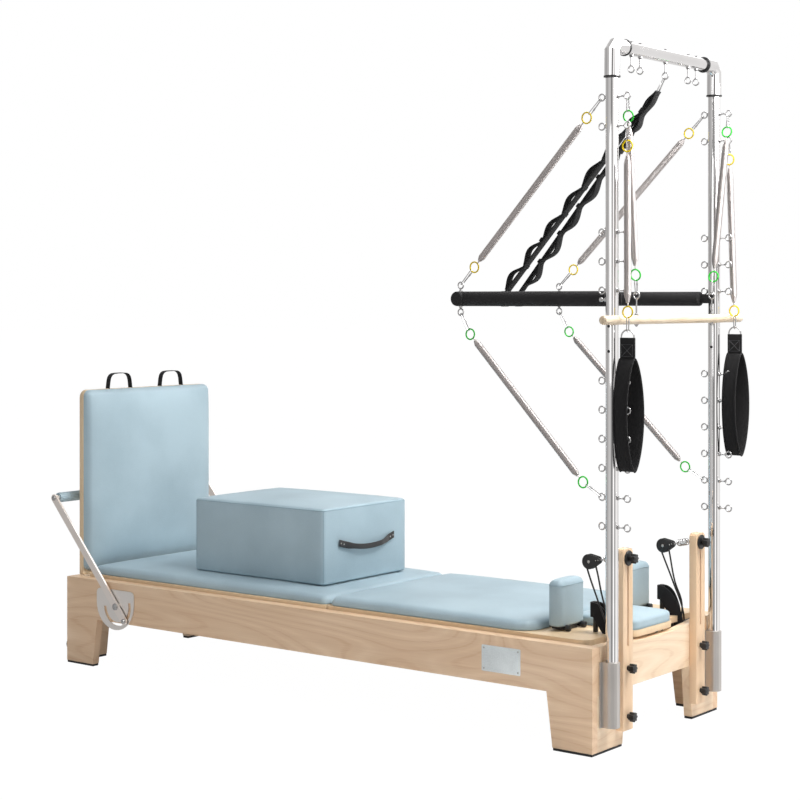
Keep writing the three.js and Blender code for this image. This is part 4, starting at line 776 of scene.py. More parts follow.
standing = Matrix(((0, 0, 1, jump_pad_low.x), (0, -1, 0, 0), (1, 0, 0, (jump_pad_low.z + jump_pad_high.z) / 2),
                   (0, 0, 0, 1)))
upholster("jump_board_cushion", jump_size, 0.026, 0.020, 0.028, 0.003, standing, "jump", "jump_board_pad",
          (34, 34), ((0.04, 0.002),), hump=8)


# Woven polyester webbing: fine ribs across the strap, matt black with a faint bloom.
def webbing(name, along, color=(30, 30, 32)):
    strap = Finish(name, Sheen_Weight=0.06, Sheen_Roughness=0.5, Specular_IOR_Level=0.25)
    own = strap.node("TexCoord", result="Object")
    ribs = strap.node("TexWave", {"bands_direction": "XYZ"[along]},
                      {"Vector": own, "Scale": 160.0, "Distortion": 0.6, "Detail": 1.0}, "Fac")
    thread = strap.noise(strap.place(), 1500, 2.0)
    weave = ribs * 0.6 + thread * 0.4
    tones = (0.3, shade(paint(*color), 0.6)), (0.75, shade(paint(*color), 1.5))
    strap.wire(Base_Color=strap.ramp(weave, *tones), Roughness=0.75 + weave * 0.15,
               Normal=strap.relief(weave, 0.0005, 0.6))
    return strap


handle_web = webbing("carry_loop_webbing", 1)


def ribbon(shape, points, width, thick, cross=(0, 1, 0)):
    """A flat strap along points. Width and cross, its direction, are single or one for each point."""
    part = bmesh.new()
    widths = width if isinstance(width, list) else [width] * len(points)
    ways = cross if isinstance(cross, list) else [cross] * len(points)
    rows = []
    for point, wide, way in zip(points, widths, ways):
        half = Vector(way) * (wide / 2)
        rows.append((part.verts.new(Vector(point) - half), part.verts.new(Vector(point) + half)))
    for (a, b), (c, d) in zip(rows, rows[1:]):
        part.faces.new((a, b, d, c))
    bmesh.ops.recalc_face_normals(part, faces=part.faces)
    bmesh.ops.solidify(part, geom=part.faces[:], thickness=thick)
    bmesh.ops.recalc_face_normals(part, faces=part.faces)
    ease(part, thick * 0.3, 2, angle=60)
    return merge(shape, part)


carry = bmesh.new()
carry_x, carry_y = (panel_back + panel_front) / 2, 0.142
half_bow = ((0.015, 0.061), (0.034, 0.0595), (0.046, 0.054), (0.054, 0.044), (0.058, 0.030), (0.0625, -0.002))
bow = [(-a, b) for a, b in reversed(half_bow)] + list(half_bow)
for sign in (-1, 1):
    path = [(carry_x, sign * carry_y + a, panel_top + b) for a, b in bow]
    ribbon(carry, path, 0.022, 0.0028, (1, 0, 0))
add_piece("jump_board_carry_loops", carry, handle_web, "jump")

# Sitting box: a plywood box upholstered on every face, piped round the top and bottom, with
# a leather handle screwed to the end that faces the tower.
box_low, box_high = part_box("sitting_box")
box_size = tuple(box_high - box_low)
box_place = Matrix.Translation(((box_low.x + box_high.x) / 2, 0, box_low.z))
upholster("sitting_box_cushion", box_size, 0.020, 0.012, 0.014, 0.004, box_place, "box", "sitting_box",
          (18, 14), ((0.975, 0.0018), (0.02, 0.0012)), 0.0024, hump=3)
corner_seams, seam_inset = bmesh.new(), 0.0062
for x in (box_low.x + seam_inset, box_high.x - seam_inset):
    for y in (box_low.y + seam_inset, box_high.y - seam_inset):
        bar(corner_seams, (x, y, box_low.z + 0.006), (x, y, box_high.z - 0.022), 0.0020, sides=12)
add_piece("sitting_box_corner_seams", corner_seams, seam_vinyl, "box")

handle_low, handle_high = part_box("sitting_box_handle")
leather = speckled("black_leather", paint(34, 33, 34), 0.42, 500, 0.0003, Coat_Weight=0.1)
handle = bmesh.new()
handle_middle = handle_high.z - 0.0125
reach, sag, grip_half, tab_share = 0.0145, 0.024, 0.157, 0.78
grip, grip_widths = [], []
for i in range(49):
    t = i / 24 - 1
    free = max(0, 1 - abs(t) / tab_share)
    grip.append((handle_low.x + 0.0022 + reach * min(1, free * 2.2) ** 0.8, grip_half * t,
                 handle_middle - sag * (1 - t * t)))
    grip_widths.append(0.019 + 0.006 * min(1, max(0, abs(t) - 0.55) * 6))
ribbon(handle, grip, grip_widths, 0.0036, (0, 0, 1))
add_piece("sitting_box_grip", handle, leather, "box", ["sitting_box_handle"])
rivets = bmesh.new()
for sign in (-1, 1):
    for y in (0.150, 0.134):
        start = (handle_low.x + 0.0038, sign * y, handle_middle - sag * (1 - (y / grip_half) ** 2))
        turned(rivets, ((0, 0.0026), (0.0026, 0.0022), (0.0044, 0.0006), (0.0044, -0.001), (0, -0.001)),
               start, (start[0] + 1, start[1], start[2]), 16)
add_piece("sitting_box_rivets", rivets, screw_steel, "box")

# Footbar cross pad: a foam tube covered in the same vinyl, stitched along its underside.
sleeve_low, sleeve_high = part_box("footbar_sleeve")
tube_pad = bmesh.new()
half = (sleeve_high.y - sleeve_low.y) / 2
tube_end = ((0.0113, 0.0), (0.0150, 0.0), (0.0180, 0.0015), (0.0190, 0.005))
turned(tube_pad, both_ends(tube_end, 2 * half),
       (bar_tip.x, -half, bar_tip.z), (bar_tip.x, half, bar_tip.z), 40)
sleeve = add_piece("footbar_cushion", tube_pad, plain_vinyl, "footbar", ["footbar_sleeve"])

# Tower posts: polished chromed tube, standing in clamps on the head board. Chromed eyebolts run
# through them at even steps, with a washer and nut on each face.
chrome = metal("polished_chrome", paint(236, 235, 235), 0.05, (12, 12, 12), 0.000005)
wire_chrome = metal("chromed_wire", paint(196, 195, 195), 0.12)
# Painted shade: a near-black finish for the discs that stand in for the dark inside of the post's pin holes.
painted_hole_shade = speckled("painted_hole_shade", paint(18, 18, 18), 0.6, 600, 0.0001)
post_x, post_y, post_radius = 1.1815, 0.330, 0.020
post_foot, post_top = 0.084, 2.106
eye_radius, eye_wire, eye_left, eye_right, eye_pitch = 0.0105, 0.0024, 0.036, 0.054, 0.0894
shank_radius, nut_radius, washer_radius = 0.0026, 0.0056, 0.0075
eye_heights = ([0.696 + eye_pitch * i for i in range(6)] + [1.420 + eye_pitch * i for i in range(3)]
               + [1.924 + eye_pitch * i for i in range(2)])


def eyebolt(shape, centre, way, reach, surface, u=(1, 0, 0), v=(0, 0, 1)):
    """A ring on a threaded shank. Way points to what it is bolted to, whose face is at surface."""
    centre, way = Vector(centre), Vector(way)

    def along(start, end, *sizes, **options):
        bar(shape, centre + way * start, centre + way * end, *sizes, **options)

    eye_ring(shape, centre, eye_radius, eye_wire, u, v, 24, 10)
    along(eye_radius - 0.001, reach, shank_radius, sides=12)
    along(eye_radius + 0.0015, eye_radius + 0.0045, 0.0042, 0.0032, 12)
    along(surface - 0.0055, surface - 0.0015, nut_radius, sides=6, width=0.0004)
    along(surface - 0.0015, surface + 0.001, washer_radius, sides=16)


for side, sign in both_sides:
    tube_shape = bmesh.new()
    y = sign * post_y
    bar(tube_shape, (post_x, y, post_foot), (post_x, y, post_top), post_radius, sides=48, width=0.001)
    add_piece("post_tube_" + side, tube_shape, chrome, "frame", ["tower_post_" + side])
    eyes = bmesh.new()
    for z in eye_heights:
        for way, out in ((1, eye_left), (-1, eye_right)):
            eyebolt(eyes, (post_x - way * out, y, z), (way, 0, 0), out - 0.01, out - post_radius)
    add_piece("post_eyebolts_" + side, eyes, wire_chrome, "frame")
    # The pin holes are not cut. Each is a thin near-black disc on the post, painted shade for the inside of a
    # hole.
    holes = bmesh.new()
    for z in (1.234, 1.311):
        for way in (-1, 1):
            start = Vector((post_x, y + way * (post_radius - 0.0012), z))
            bar(holes, start, start + Vector((0, way * 0.0016, 0)), 0.0048, sides=20)
    add_piece("post_holes_" + side, holes, painted_hole_shade, "frame")

# Post clamps: bent satin plates round each post, screwed to the head board at four points.
clamp_alloy = metal("clamp_alloy", paint(206, 202, 198), 0.4, (30, 30, 3), 0.00004)
for side, sign in both_sides:
    dress("post_clamp_" + side, clamp_alloy, 0.0008)

# Crossbar: a chromed tube in three-piece mitred elbows, with black rings at their mouths and
# five eyebolts hanging through it.
cross_z, elbow_radius, elbow_low, elbow_out, mitre = 2.172, 0.024, 2.078, 0.072, 0.018
ring_black = speckled("ring_black", paint(24, 24, 25), 0.35, 900, 0.00004)
cross = bmesh.new()
cross_end = post_y - elbow_out
bar(cross, (post_x, -cross_end - 0.002, cross_z), (post_x, cross_end + 0.002, cross_z), 0.020, sides=48)
collars = bmesh.new()
for sign in (-1, 1):
    y = sign * post_y
    wire(cross, [(post_x, y, elbow_low), (post_x, y, cross_z - mitre), (post_x, y - sign * mitre, cross_z),
                 (post_x, sign * cross_end, cross_z)], elbow_radius, 40)
    bar(collars, (post_x, y, elbow_low - 0.005), (post_x, y, elbow_low), 0.0262, sides=40, width=0.001)
    bar(collars, (post_x, sign * cross_end, cross_z), (post_x, sign * (cross_end - 0.005), cross_z), 0.0262,
        sides=40, width=0.001)
add_piece("crossbar_tube", cross, chrome, "frame", ["tower_crossbar"], sharp=20)
add_piece("crossbar_collars", collars, ring_black, "frame")
cross_eyes = bmesh.new()
eye_drop = 0.062
for y in (-0.214, -0.160, 0.0, 0.150, 0.204):
    eyebolt(cross_eyes, (post_x, y, cross_z - eye_drop), (0, 0, 1), eye_drop - 0.01, eye_drop - 0.020)
    bar(cross_eyes, (post_x, y, cross_z + 0.0195), (post_x, y, cross_z + 0.024), nut_radius, sides=6,
        width=0.0005)
    bar(cross_eyes, (post_x, y, cross_z + 0.0185), (post_x, y, cross_z + 0.0198), washer_radius, sides=16)
add_piece("crossbar_eyebolts", cross_eyes, wire_chrome, "frame")

# Push-through bar: black powder-coated tubes. Two arms turn on pins in the posts and are welded
# to a cross tube, whose ends stand out past them and whose middle carries a foam grip.
push_z, push_x, push_y, push_radius, push_inner, push_outer = 1.395, 0.5875, 0.298, 0.024, 0.274, 0.325
lug_half, lug_wall, pin_radius, eye_offset = 0.015, 0.003, 0.006, 0.044
bar_black = speckled("bar_black", paint(34, 33, 34), 0.75, 1400, 0.00004, Specular_IOR_Level=0.3)
push = bmesh.new()
bar(push, (push_x, -push_y, push_z), (push_x, push_y, push_z), 0.0129, sides=24)
for sign in (-1, 1):
    y, reach = sign * push_y, push_outer - push_inner
    bar(push, (post_x - 0.034, y, push_z), (push_x, y, push_z), push_radius, sides=40, width=0.003)
    turned(push, ((0, 0), (0.0205, 0), (0.0232, 0.0008), (push_radius, 0.003), (push_radius, reach - 0.0058),
                  (0.0232, reach - 0.0025), (0.0212, reach - 0.0006), (0.0185, reach), (0, reach)),
           (push_x, sign * push_inner, push_z), (push_x, sign, push_z), 40)
    slab(push, (post_x - 0.036, y - lug_wall, push_z - lug_half),
         (post_x + 0.015, y + lug_wall, push_z + lug_half), 0.001)
    pin_end = sign * (post_y - post_radius - 0.0003)
    bar(push, (post_x, y - sign * lug_wall, push_z), (post_x, pin_end, push_z), pin_radius, sides=20)
add_piece("push_bar_tube", push, bar_black, "push_bar", ["push_through_bar"])
push_eyes = bmesh.new()
for sign in (-1, 1):
    for way in (-1, 1):
        eyebolt(push_eyes, (push_x, sign * push_y, push_z + way * eye_offset), (0, 0, -way), 0.033,
                eye_offset - push_radius)
add_piece("push_bar_eyebolts", push_eyes, wire_chrome, "push_bar")
foam = speckled("grip_foam", paint(32, 31, 32), 0.95, 1600, 0.0003, Specular_IOR_Level=0.25)
foam_low, foam_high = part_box("push_through_foam")
grip_shape = bmesh.new()
half = (foam_high.y - foam_low.y) / 2
foam_end = ((0.0133, 0), (0.0205, 0), (0.0232, 0.001), (0.0240, 0.004))
turned(grip_shape, both_ends(foam_end, 2 * half), (push_x, -half, push_z), (push_x, half, push_z), 40)
foam_grip = add_piece("push_bar_foam", grip_shape, foam, "push_bar", ["push_through_foam"])

# Pull pins: a sprung chrome knob on the inner side of each post locks the push-through bar.
pull, pull_z = bmesh.new(), 1.392
pull_profile = ((0, 0.026), (0.005, 0.026), (0.0068, 0.0245), (0.0068, 0.017), (0.0045, 0.0155),
                (0.0045, 0.008), (0.0065, 0.007), (0.0065, 0), (0, 0))
for sign in (-1, 1):
    x, y = post_x - post_radius + 0.002, sign * post_y
    turned(pull, pull_profile, (x, y, pull_z), (x - 1, y, pull_z), 24)
add_piece("pull_pins", pull, wire_chrome, "frame")

# Roll-down bar: a turned maple dowel hung level from two springs by eyebolts through it.
roll_x, roll_z, roll_radius, roll_eye = 1.2175, 1.330, 0.014, 0.245
dowel_maple = maple("dowel_maple", 1, (232, 214, 190), (212, 190, 160))
roll_low, roll_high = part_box("roll_down_bar")
dowel = bmesh.new()
span = roll_high.y - roll_low.y
dowel_end = ((0, 0), (0.008, 0), (0.0115, 0.0012), (0.0135, 0.004), (roll_radius, 0.008))
turned(dowel, (*dowel_end, *((r, span - h) for r, h in reversed(dowel_end))),
       (roll_x, roll_low.y, roll_z), (roll_x, roll_high.y, roll_z), 36)
add_piece("roll_down_dowel", dowel, dowel_maple, "roll_down", ["roll_down_bar"])
roll_eyes, roll_eye_up = bmesh.new(), 0.076
for sign in (-1, 1):
    y, under = sign * roll_eye, roll_z - roll_radius
    eyebolt(roll_eyes, (roll_x, y, roll_z + roll_eye_up), (0, 0, -1), 0.070, roll_eye_up - roll_radius)
    bar(roll_eyes, (roll_x, y, under + 0.0005), (roll_x, y, under - 0.0015), washer_radius, sides=16)
    bar(roll_eyes, (roll_x, y, under - 0.0015), (roll_x, y, under - 0.0055), nut_radius, sides=6, width=0.0004)
    bar(roll_eyes, (roll_x, y, under), (roll_x, y, under - 0.008), shank_radius, sides=12)
add_piece("roll_down_eyebolts", roll_eyes, wire_chrome, "roll_down")

# Tower springs: close-wound nickel wire with tapered ends, hooked into colour-coded rings.
# A snap hook joins each ring to its eye.
spring_nickel = metal("spring_nickel", paint(196, 190, 188), 0.34, (30, 30, 30), 0.00001)
yellow_ring = speckled("yellow_ring", paint(226, 196, 12), 0.6, 900, 0.00004, Specular_IOR_Level=0.2)
green_ring = speckled("green_ring", paint(34, 196, 46), 0.6, 900, 0.00004, Specular_IOR_Level=0.2)
coil_radius, coil_neck, coil_wire = 0.0116, 0.005, 0.0017
link_long, link_short, link_half, link_flare, link_wire = 0.064, 0.046, 0.0054, 0.0024, 0.0016
tag_radius, tag_wire, hook_length = 0.017, 0.0024, 0.010


def snap_hook(shape, start, along, across, reach):
    """A spring-gate hook of round wire, rounded at both ends, its gate bar on one side."""
    a, b, flared, gate_inset = link_half, reach - link_half, link_half + link_flare, 0.003
    points = arc_points(start + along * a, across, -along, link_half, 0, math.pi, 8)
    points += arc_points(start + along * (b - link_flare), -across, along, flared, 0, math.pi, 10)
    wire(shape, points, link_wire, 8, True)
    low = start + across * link_half + along * (a + gate_inset)
    high = start + across * flared + along * (b - gate_inset)
    bar(shape, low, high, link_wire * 1.25, sides=10)
    bar(shape, low.lerp(high, 0.62), low.lerp(high, 0.86), link_wire * 1.7, sides=12, width=0.0004)


def tower_spring(name, start, end, body, node, tag, gap, sag=0.0, hook=link_long, cone=0.016):
    """A spring between two eyes. It sags below their line by its weight, and its hooks follow."""
    start, end = Vector(start), Vector(end)
    line = (end - start).normalized()
    across = (Vector((0, 1, 0)) - line * line.y).normalized()
    third = line.cross(across)
    bite = eye_radius - eye_wire - gap - 2 * link_wire
    tag_at = hook + tag_radius - 0.8 * (tag_wire + link_wire)
    reach = math.sqrt((bite + tag_at) ** 2 - sag ** 2)
    hang = (Vector((0, 0, -1)) + line * line.z).normalized() * sag
    fittings, tags, winding = bmesh.new(), bmesh.new(), bmesh.new()
    centres = []
    for eye, inward in ((start, line), (end, -line)):
        centre = eye + inward * reach + hang
        way = (centre - eye).normalized()
        snap_hook(fittings, eye + way * bite, way, across, hook)
        eye_ring(tags, centre, tag_radius, tag_wire, line, third, 32, 12)
        centres.append(centre)
    first = tag_radius + hook_length
    length = (centres[1] - centres[0]).length - 2 * first
    base = centres[0] + line * first
    turns = int(length / (2.02 * coil_wire))
    steps = 10
    points = [base - line * (hook_length + 0.001)]
    for i in range(turns * steps + 1):
        depth = coil_wire + (length - 2 * coil_wire) * i / (turns * steps)
        radius = coil_neck + (coil_radius - coil_neck) * min(1, depth / cone, (length - depth) / cone)
        angle = math.tau * i / steps
        points.append(base + line * depth + across * ((radius - coil_wire) * math.cos(angle))
                      + third * ((radius - coil_wire) * math.sin(angle)))
    points.append(base + line * (length + hook_length + 0.001))
    wire(winding, points, coil_wire, 8)
    for low, high in ((-hook_length - 0.001, 0.004), (length - 0.004, length + hook_length + 0.001)):
        bar(winding, base + line * low, base + line * high, 0.0017, sides=8)
    add_piece(name + "_coil", winding, spring_nickel, body, [node], sharp=80)
    add_piece(name + "_hooks", fittings, wire_chrome, body)
    add_piece(name + "_tags", tags, tag, body)


loop_x = {"near": 1.2535, "far": 1.2435}
loop_y, loop_top, loop_low, ring_half = 0.359, 1.276, 0.868, 0.022
for side, sign in both_sides:
    top_left = (post_x - eye_left, sign * post_y, eye_heights[-1])
    low_left = (post_x - eye_left, sign * post_y, eye_heights[1])
    top_right = (post_x + eye_right, sign * post_y, eye_heights[-1])
    next_right = (post_x + eye_right, sign * post_y, eye_heights[-2])
    tower_spring("upper_spring_" + side, top_left, (push_x, sign * push_y, push_z + eye_offset), "frame",
                 "upper_spring_" + side, yellow_ring, 0.0007)
    tower_spring("lower_spring_" + side, low_left, (push_x, sign * push_y, push_z - eye_offset), "frame",
                 "lower_spring_" + side, green_ring, 0.0007, 0.022)
    tower_spring("roll_spring_" + side, top_right, (roll_x, sign * roll_eye, roll_z + roll_eye_up), "roll_down",
                 "roll_down_spring_" + side, green_ring, 0.0018, hook=link_short, cone=0.026)
    hook_z = loop_top + eye_wire + ring_half - eye_radius
    tower_spring("loop_spring_" + side, next_right, (loop_x[side], sign * loop_y, hook_z),
                 "hanging_loop_" + side, "loop_spring_" + side, yellow_ring, 0.0001, hook=link_short,
                 cone=0.026)

# Hanging loops: wide webbing bands with corded edges for hand or foot, sewn to a tab on a steel
# D-ring. Each band hangs open, and its two halves are turned a little out of line.
loop_web = webbing("loop_webbing", 2, (22, 21, 22))
tab_web = webbing("tab_webbing", 0, (24, 23, 24))
thread_grey = speckled("thread_grey", paint(96, 96, 98), 0.8, 2000, 0.0001)
for side, sign in both_sides:
    x, y = loop_x[side], sign * loop_y
    high = loop_top - 0.062
    middle, crosses = [], []
    for i in range(61):
        angle = math.tau * i / 60
        t = (1 + math.cos(angle)) / 2
        way = -1 if i < 30 else 1
        wide = max(0.0, math.sin(math.pi * t)) ** 0.6
        low_z = loop_low + 0.003
        middle.append(Vector((x, y + way * 0.046 * wide, low_z + (high - low_z) * t)))
        twist = math.radians(-9.5 if way < 0 else 23) * wide ** 1.5
        crosses.append(Vector((math.cos(twist), math.sin(twist), 0)))
    body, band, cord, tab, ring = "hanging_loop_" + side, bmesh.new(), bmesh.new(), bmesh.new(), bmesh.new()
    ribbon(band, middle, 0.051, 0.0046, crosses)
    loop_band = add_piece("loop_band_" + side, band, loop_web, body, [body], sharp=70)
    for edge in (-0.0248, 0.0248):
        wire(cord, [m + c * edge for m, c in zip(middle[1:-1], crosses[1:-1])], 0.0026, 10)
    add_piece("loop_piping_" + side, cord, loop_web, body)
    tab_half, tab_wall = 0.0255, 0.0038
    slab(tab, (x - tab_half, y - tab_wall, high - 0.006),
         (x + tab_half, y + tab_wall, loop_top + 0.001), 0.0014)
    add_piece("loop_tab_" + side, tab, tab_web, body)
    stitches = bmesh.new()
    low_row, high_row = high + 0.006, loop_top - 0.020
    for way in (-1, 1):
        face_y = y + way * 0.0040
        corners = [Vector((x + a * 0.019, face_y, z)) for a, z in
                   ((-1, low_row), (1, low_row), (1, high_row), (-1, high_row))]
        wire(stitches, corners, 0.0005, 6, True)
        wire(stitches, [corners[0], corners[2]], 0.0005, 6)
        wire(stitches, [corners[1], corners[3]], 0.0005, 6)
    add_piece("loop_stitching_" + side, stitches, thread_grey, body)
    eye_ring(ring, (x, y, loop_top + eye_wire), ring_half, 0.0024, steps=36, sides=10)
    bar(ring, (x - 0.021, y, loop_top - 0.003), (x + 0.021, y, loop_top - 0.003), 0.0024, sides=10)
    add_piece("loop_ring_" + side, ring, wire_chrome, body)

# Daisy-chain strap: two flat webbing bands side by side, wrapped round the foam grip and folded
# together under a snap hook. The near band's sewn loops stand above it, the far one's below.
daisy_web = webbing("daisy_webbing", 1, (18, 18, 19))
strap_eye = Vector((post_x, 0, cross_z - eye_drop))
strap_low = Vector((push_x + 0.009, 0, push_z + push_radius + 0.002))
strap_high = strap_eye - Vector((0.026, 0, 0.045))
strap_line = (strap_high - strap_low).normalized()
strap_face = strap_line.cross(Vector((0, 1, 0)))
strap_length = (strap_high - strap_low).length
gather, bands_half, bands_top, band_width, seam_half = 0.174, 0.042, 0.020, 0.033, 0.008
upper_end = strap_length - gather
strap = bmesh.new()


def strap_point(t, v, rise=0.0):
    """A point along the strap, beside its middle line, and above its face."""
    return strap_low + strap_line * t + Vector((0, v, 0)) + strap_face * rise


def band_middle(t):
    return bands_half + (bands_top - bands_half) * t / upper_end


near_joints = (0.000, 0.110, 0.222, 0.336, 0.450, 0.564, upper_end)
far_joints = (0.022, 0.134, 0.258, 0.376, 0.498, 0.610, upper_end)
bows = (0.025, 0.025, 0.021, 0.021, 0.019, 0.015)
for sign, joints in ((-1, near_joints), (1, far_joints)):
    ribbon(strap, [strap_point(t, sign * band_middle(t)) for t in (upper_end * i / 40 for i in range(41))],
           band_width, 0.0038)
    for (first, last), bow in zip(zip(joints, joints[1:]), bows):
        path = []
        for i in range(17):
            t = first + 0.004 + (last - first - 0.008) * i / 16
            rise = 0.0035 + (bow - 0.0035) * math.sin(math.pi * i / 16) ** 1.3
            path.append(strap_point(t, sign * band_middle(t), -sign * rise))
        ribbon(strap, path, band_width - 0.001, 0.0036)
        if last < upper_end:
            ribbon(strap, [strap_point(t, sign * band_middle(last), -sign * 0.002)
                           for t in (last - seam_half, last + seam_half)], band_width + 0.001, 0.0085)
    wrap = arc_points((push_x, sign * bands_half, push_z), (0, 0, 1), (1, 0, 0), push_radius + 0.0024,
                      0, math.tau, 40)
    ribbon(strap, wrap, band_width, 0.0036)
fold_half = (0.010, 0.022, 0.007, 0.012, 0.0044)
for ply, lean in ((-1.0, -1), (-0.35, 1), (0.35, -1), (1.0, 1)):
    fold = []
    for i in range(33):
        share = i / 32
        k = min(3, int(share * 4))
        blend = (1 - math.cos(math.pi * (share * 4 - k))) / 2
        swell = fold_half[k] + (fold_half[k + 1] - fold_half[k]) * blend - 0.002
        v = lean * bands_top * max(0, 1 - share * 3) ** 2 + lean * 0.002
        fold.append(strap_point(upper_end - 0.006 + (gather + 0.004) * share, v, ply * swell))
    ribbon(strap, fold, 0.030, 0.0036)
slab(strap, (-0.0165, -0.0075, -0.010), (0.0165, 0.0075, 0.010), 0.002)
tie = [v for v in strap.verts if v.co.length < 0.03]
bmesh.ops.transform(strap, verts=tie, matrix=Matrix.Translation(strap_point(upper_end + gather * 0.52, 0))
                    @ Matrix((Vector((0, 1, 0)), strap_face, strap_line)).transposed().to_4x4())
add_piece("daisy_strap_bands", strap, daisy_web, "frame", ["daisy_strap"], sharp=60)
clip = bmesh.new()
hang = (strap_high - strap_eye).normalized()
clip_start = strap_eye + hang * (eye_radius - eye_wire - 0.0007 - 2 * link_wire)
snap_hook(clip, clip_start, hang, Vector((0, 1, 0)), link_long)
add_piece("daisy_strap_hook", clip, wire_chrome, "frame")

# Pulley risers: slotted plywood boards on the head board, clamped by two star knobs each.
knob_plastic = speckled("knob_plastic", paint(26, 26, 27), 0.36, 1400, 0.00006)
# Painted shade: a dark reddish-brown finish for the block that fills each riser slot.
slot_shade_paint = speckled("painted_slot_shade", paint(150, 84, 58), 0.6, 500, 0.0001)
riser_y, riser_half, riser_wall, face_x = 0.235, 0.029, 0.026, 1.1558


def star_knob(shape, x, y, z):
    """A moulded star knob with its boss, its axis along +X."""
    lobes, radius, dip = 7, 0.0155, 0.0020
    outline = []
    for angle in (math.tau * i / 70 for i in range(70)):
        r = radius - dip * (1 - math.cos(lobes * angle))
        outline.append((y + r * math.cos(angle), z + r * math.sin(angle)))
    board(shape, outline, 0.018, plane_yz(x + 0.008), 0.0022, 3)
    for profile in (((0, 0), (0.008, 0), (0.0078, 0.004), (0.010, 0.0085), (0, 0.0085)),
                    ((0, 0.0272), (0.0055, 0.0270), (0.0070, 0.0255), (0, 0.0255))):
        turned(shape, profile, (x, y, z), (x + 1, y, z), 24)


for side, sign in both_sides:
    y = sign * riser_y
    slotted = bmesh.new()
    outline = rounded((y - riser_half, 0.056), (y + riser_half, 0.620), (0.016, 0.016, 0.002, 0.002))
    slot = rounded((y - 0.004, 0.315), (y + 0.004, 0.602), (0.0038,) * 4, 4)
    board(slotted, outline, riser_wall, plane_yz(face_x), 0.0012, 2, [slot])
    add_piece("riser_board_" + side, slotted, riser_ply, "frame", ["pulley_riser_" + side])
    # The slot below the knob is filled by a dark reddish-brown block. This is painted shade standing in for the
    # shaded wood seen through the slot.
    slot_shade_fill = bmesh.new()
    slab(slot_shade_fill, (face_x + 0.002, y - 0.0039, 0.316), (face_x + riser_wall - 0.004, y + 0.0039, 0.566), 0)
    add_piece("riser_slot_" + side, slot_shade_fill, slot_shade_paint, "frame")
    knobs = bmesh.new()
    for z in (0.099, 0.249):
        star_knob(knobs, face_x + riser_wall, y, z)
    add_piece("riser_knobs_" + side, knobs, knob_plastic, "frame")

# Height knobs: a star knob on a wide washer, whose bolt passes through the slot to an eye.
knob_z, eye_x, small_eye, small_wire = 0.590, 1.1455, 0.0042, 0.0016
for side, sign in both_sides:
    y, body = sign * riser_y, "pulley_knob_" + side
    front = face_x + riser_wall + 0.0003
    turned_knob, bolt = bmesh.new(), bmesh.new()
    turned(turned_knob, ((0, 0), (0.0225, 0), (0.024, 0.0015), (0.024, 0.0040), (0.0215, 0.0060), (0, 0.0060)),
           (front, y, knob_z), (front + 1, y, knob_z), 40)
    star_knob(turned_knob, front + 0.004, y, knob_z)
    bar(bolt, (eye_x + small_eye, y, knob_z), (front + 0.002, y, knob_z), 0.0036, sides=16)
    bar(bolt, (eye_x + 0.007, y, knob_z), (eye_x + 0.010, y, knob_z), 0.007, sides=6, width=0.0004)
    eye_ring(bolt, (eye_x, y, knob_z), small_eye, small_wire, steps=20)
    add_piece("height_knob_" + side, turned_knob, knob_plastic, body, [body])
    add_piece("height_bolt_" + side, bolt, wire_chrome, body)

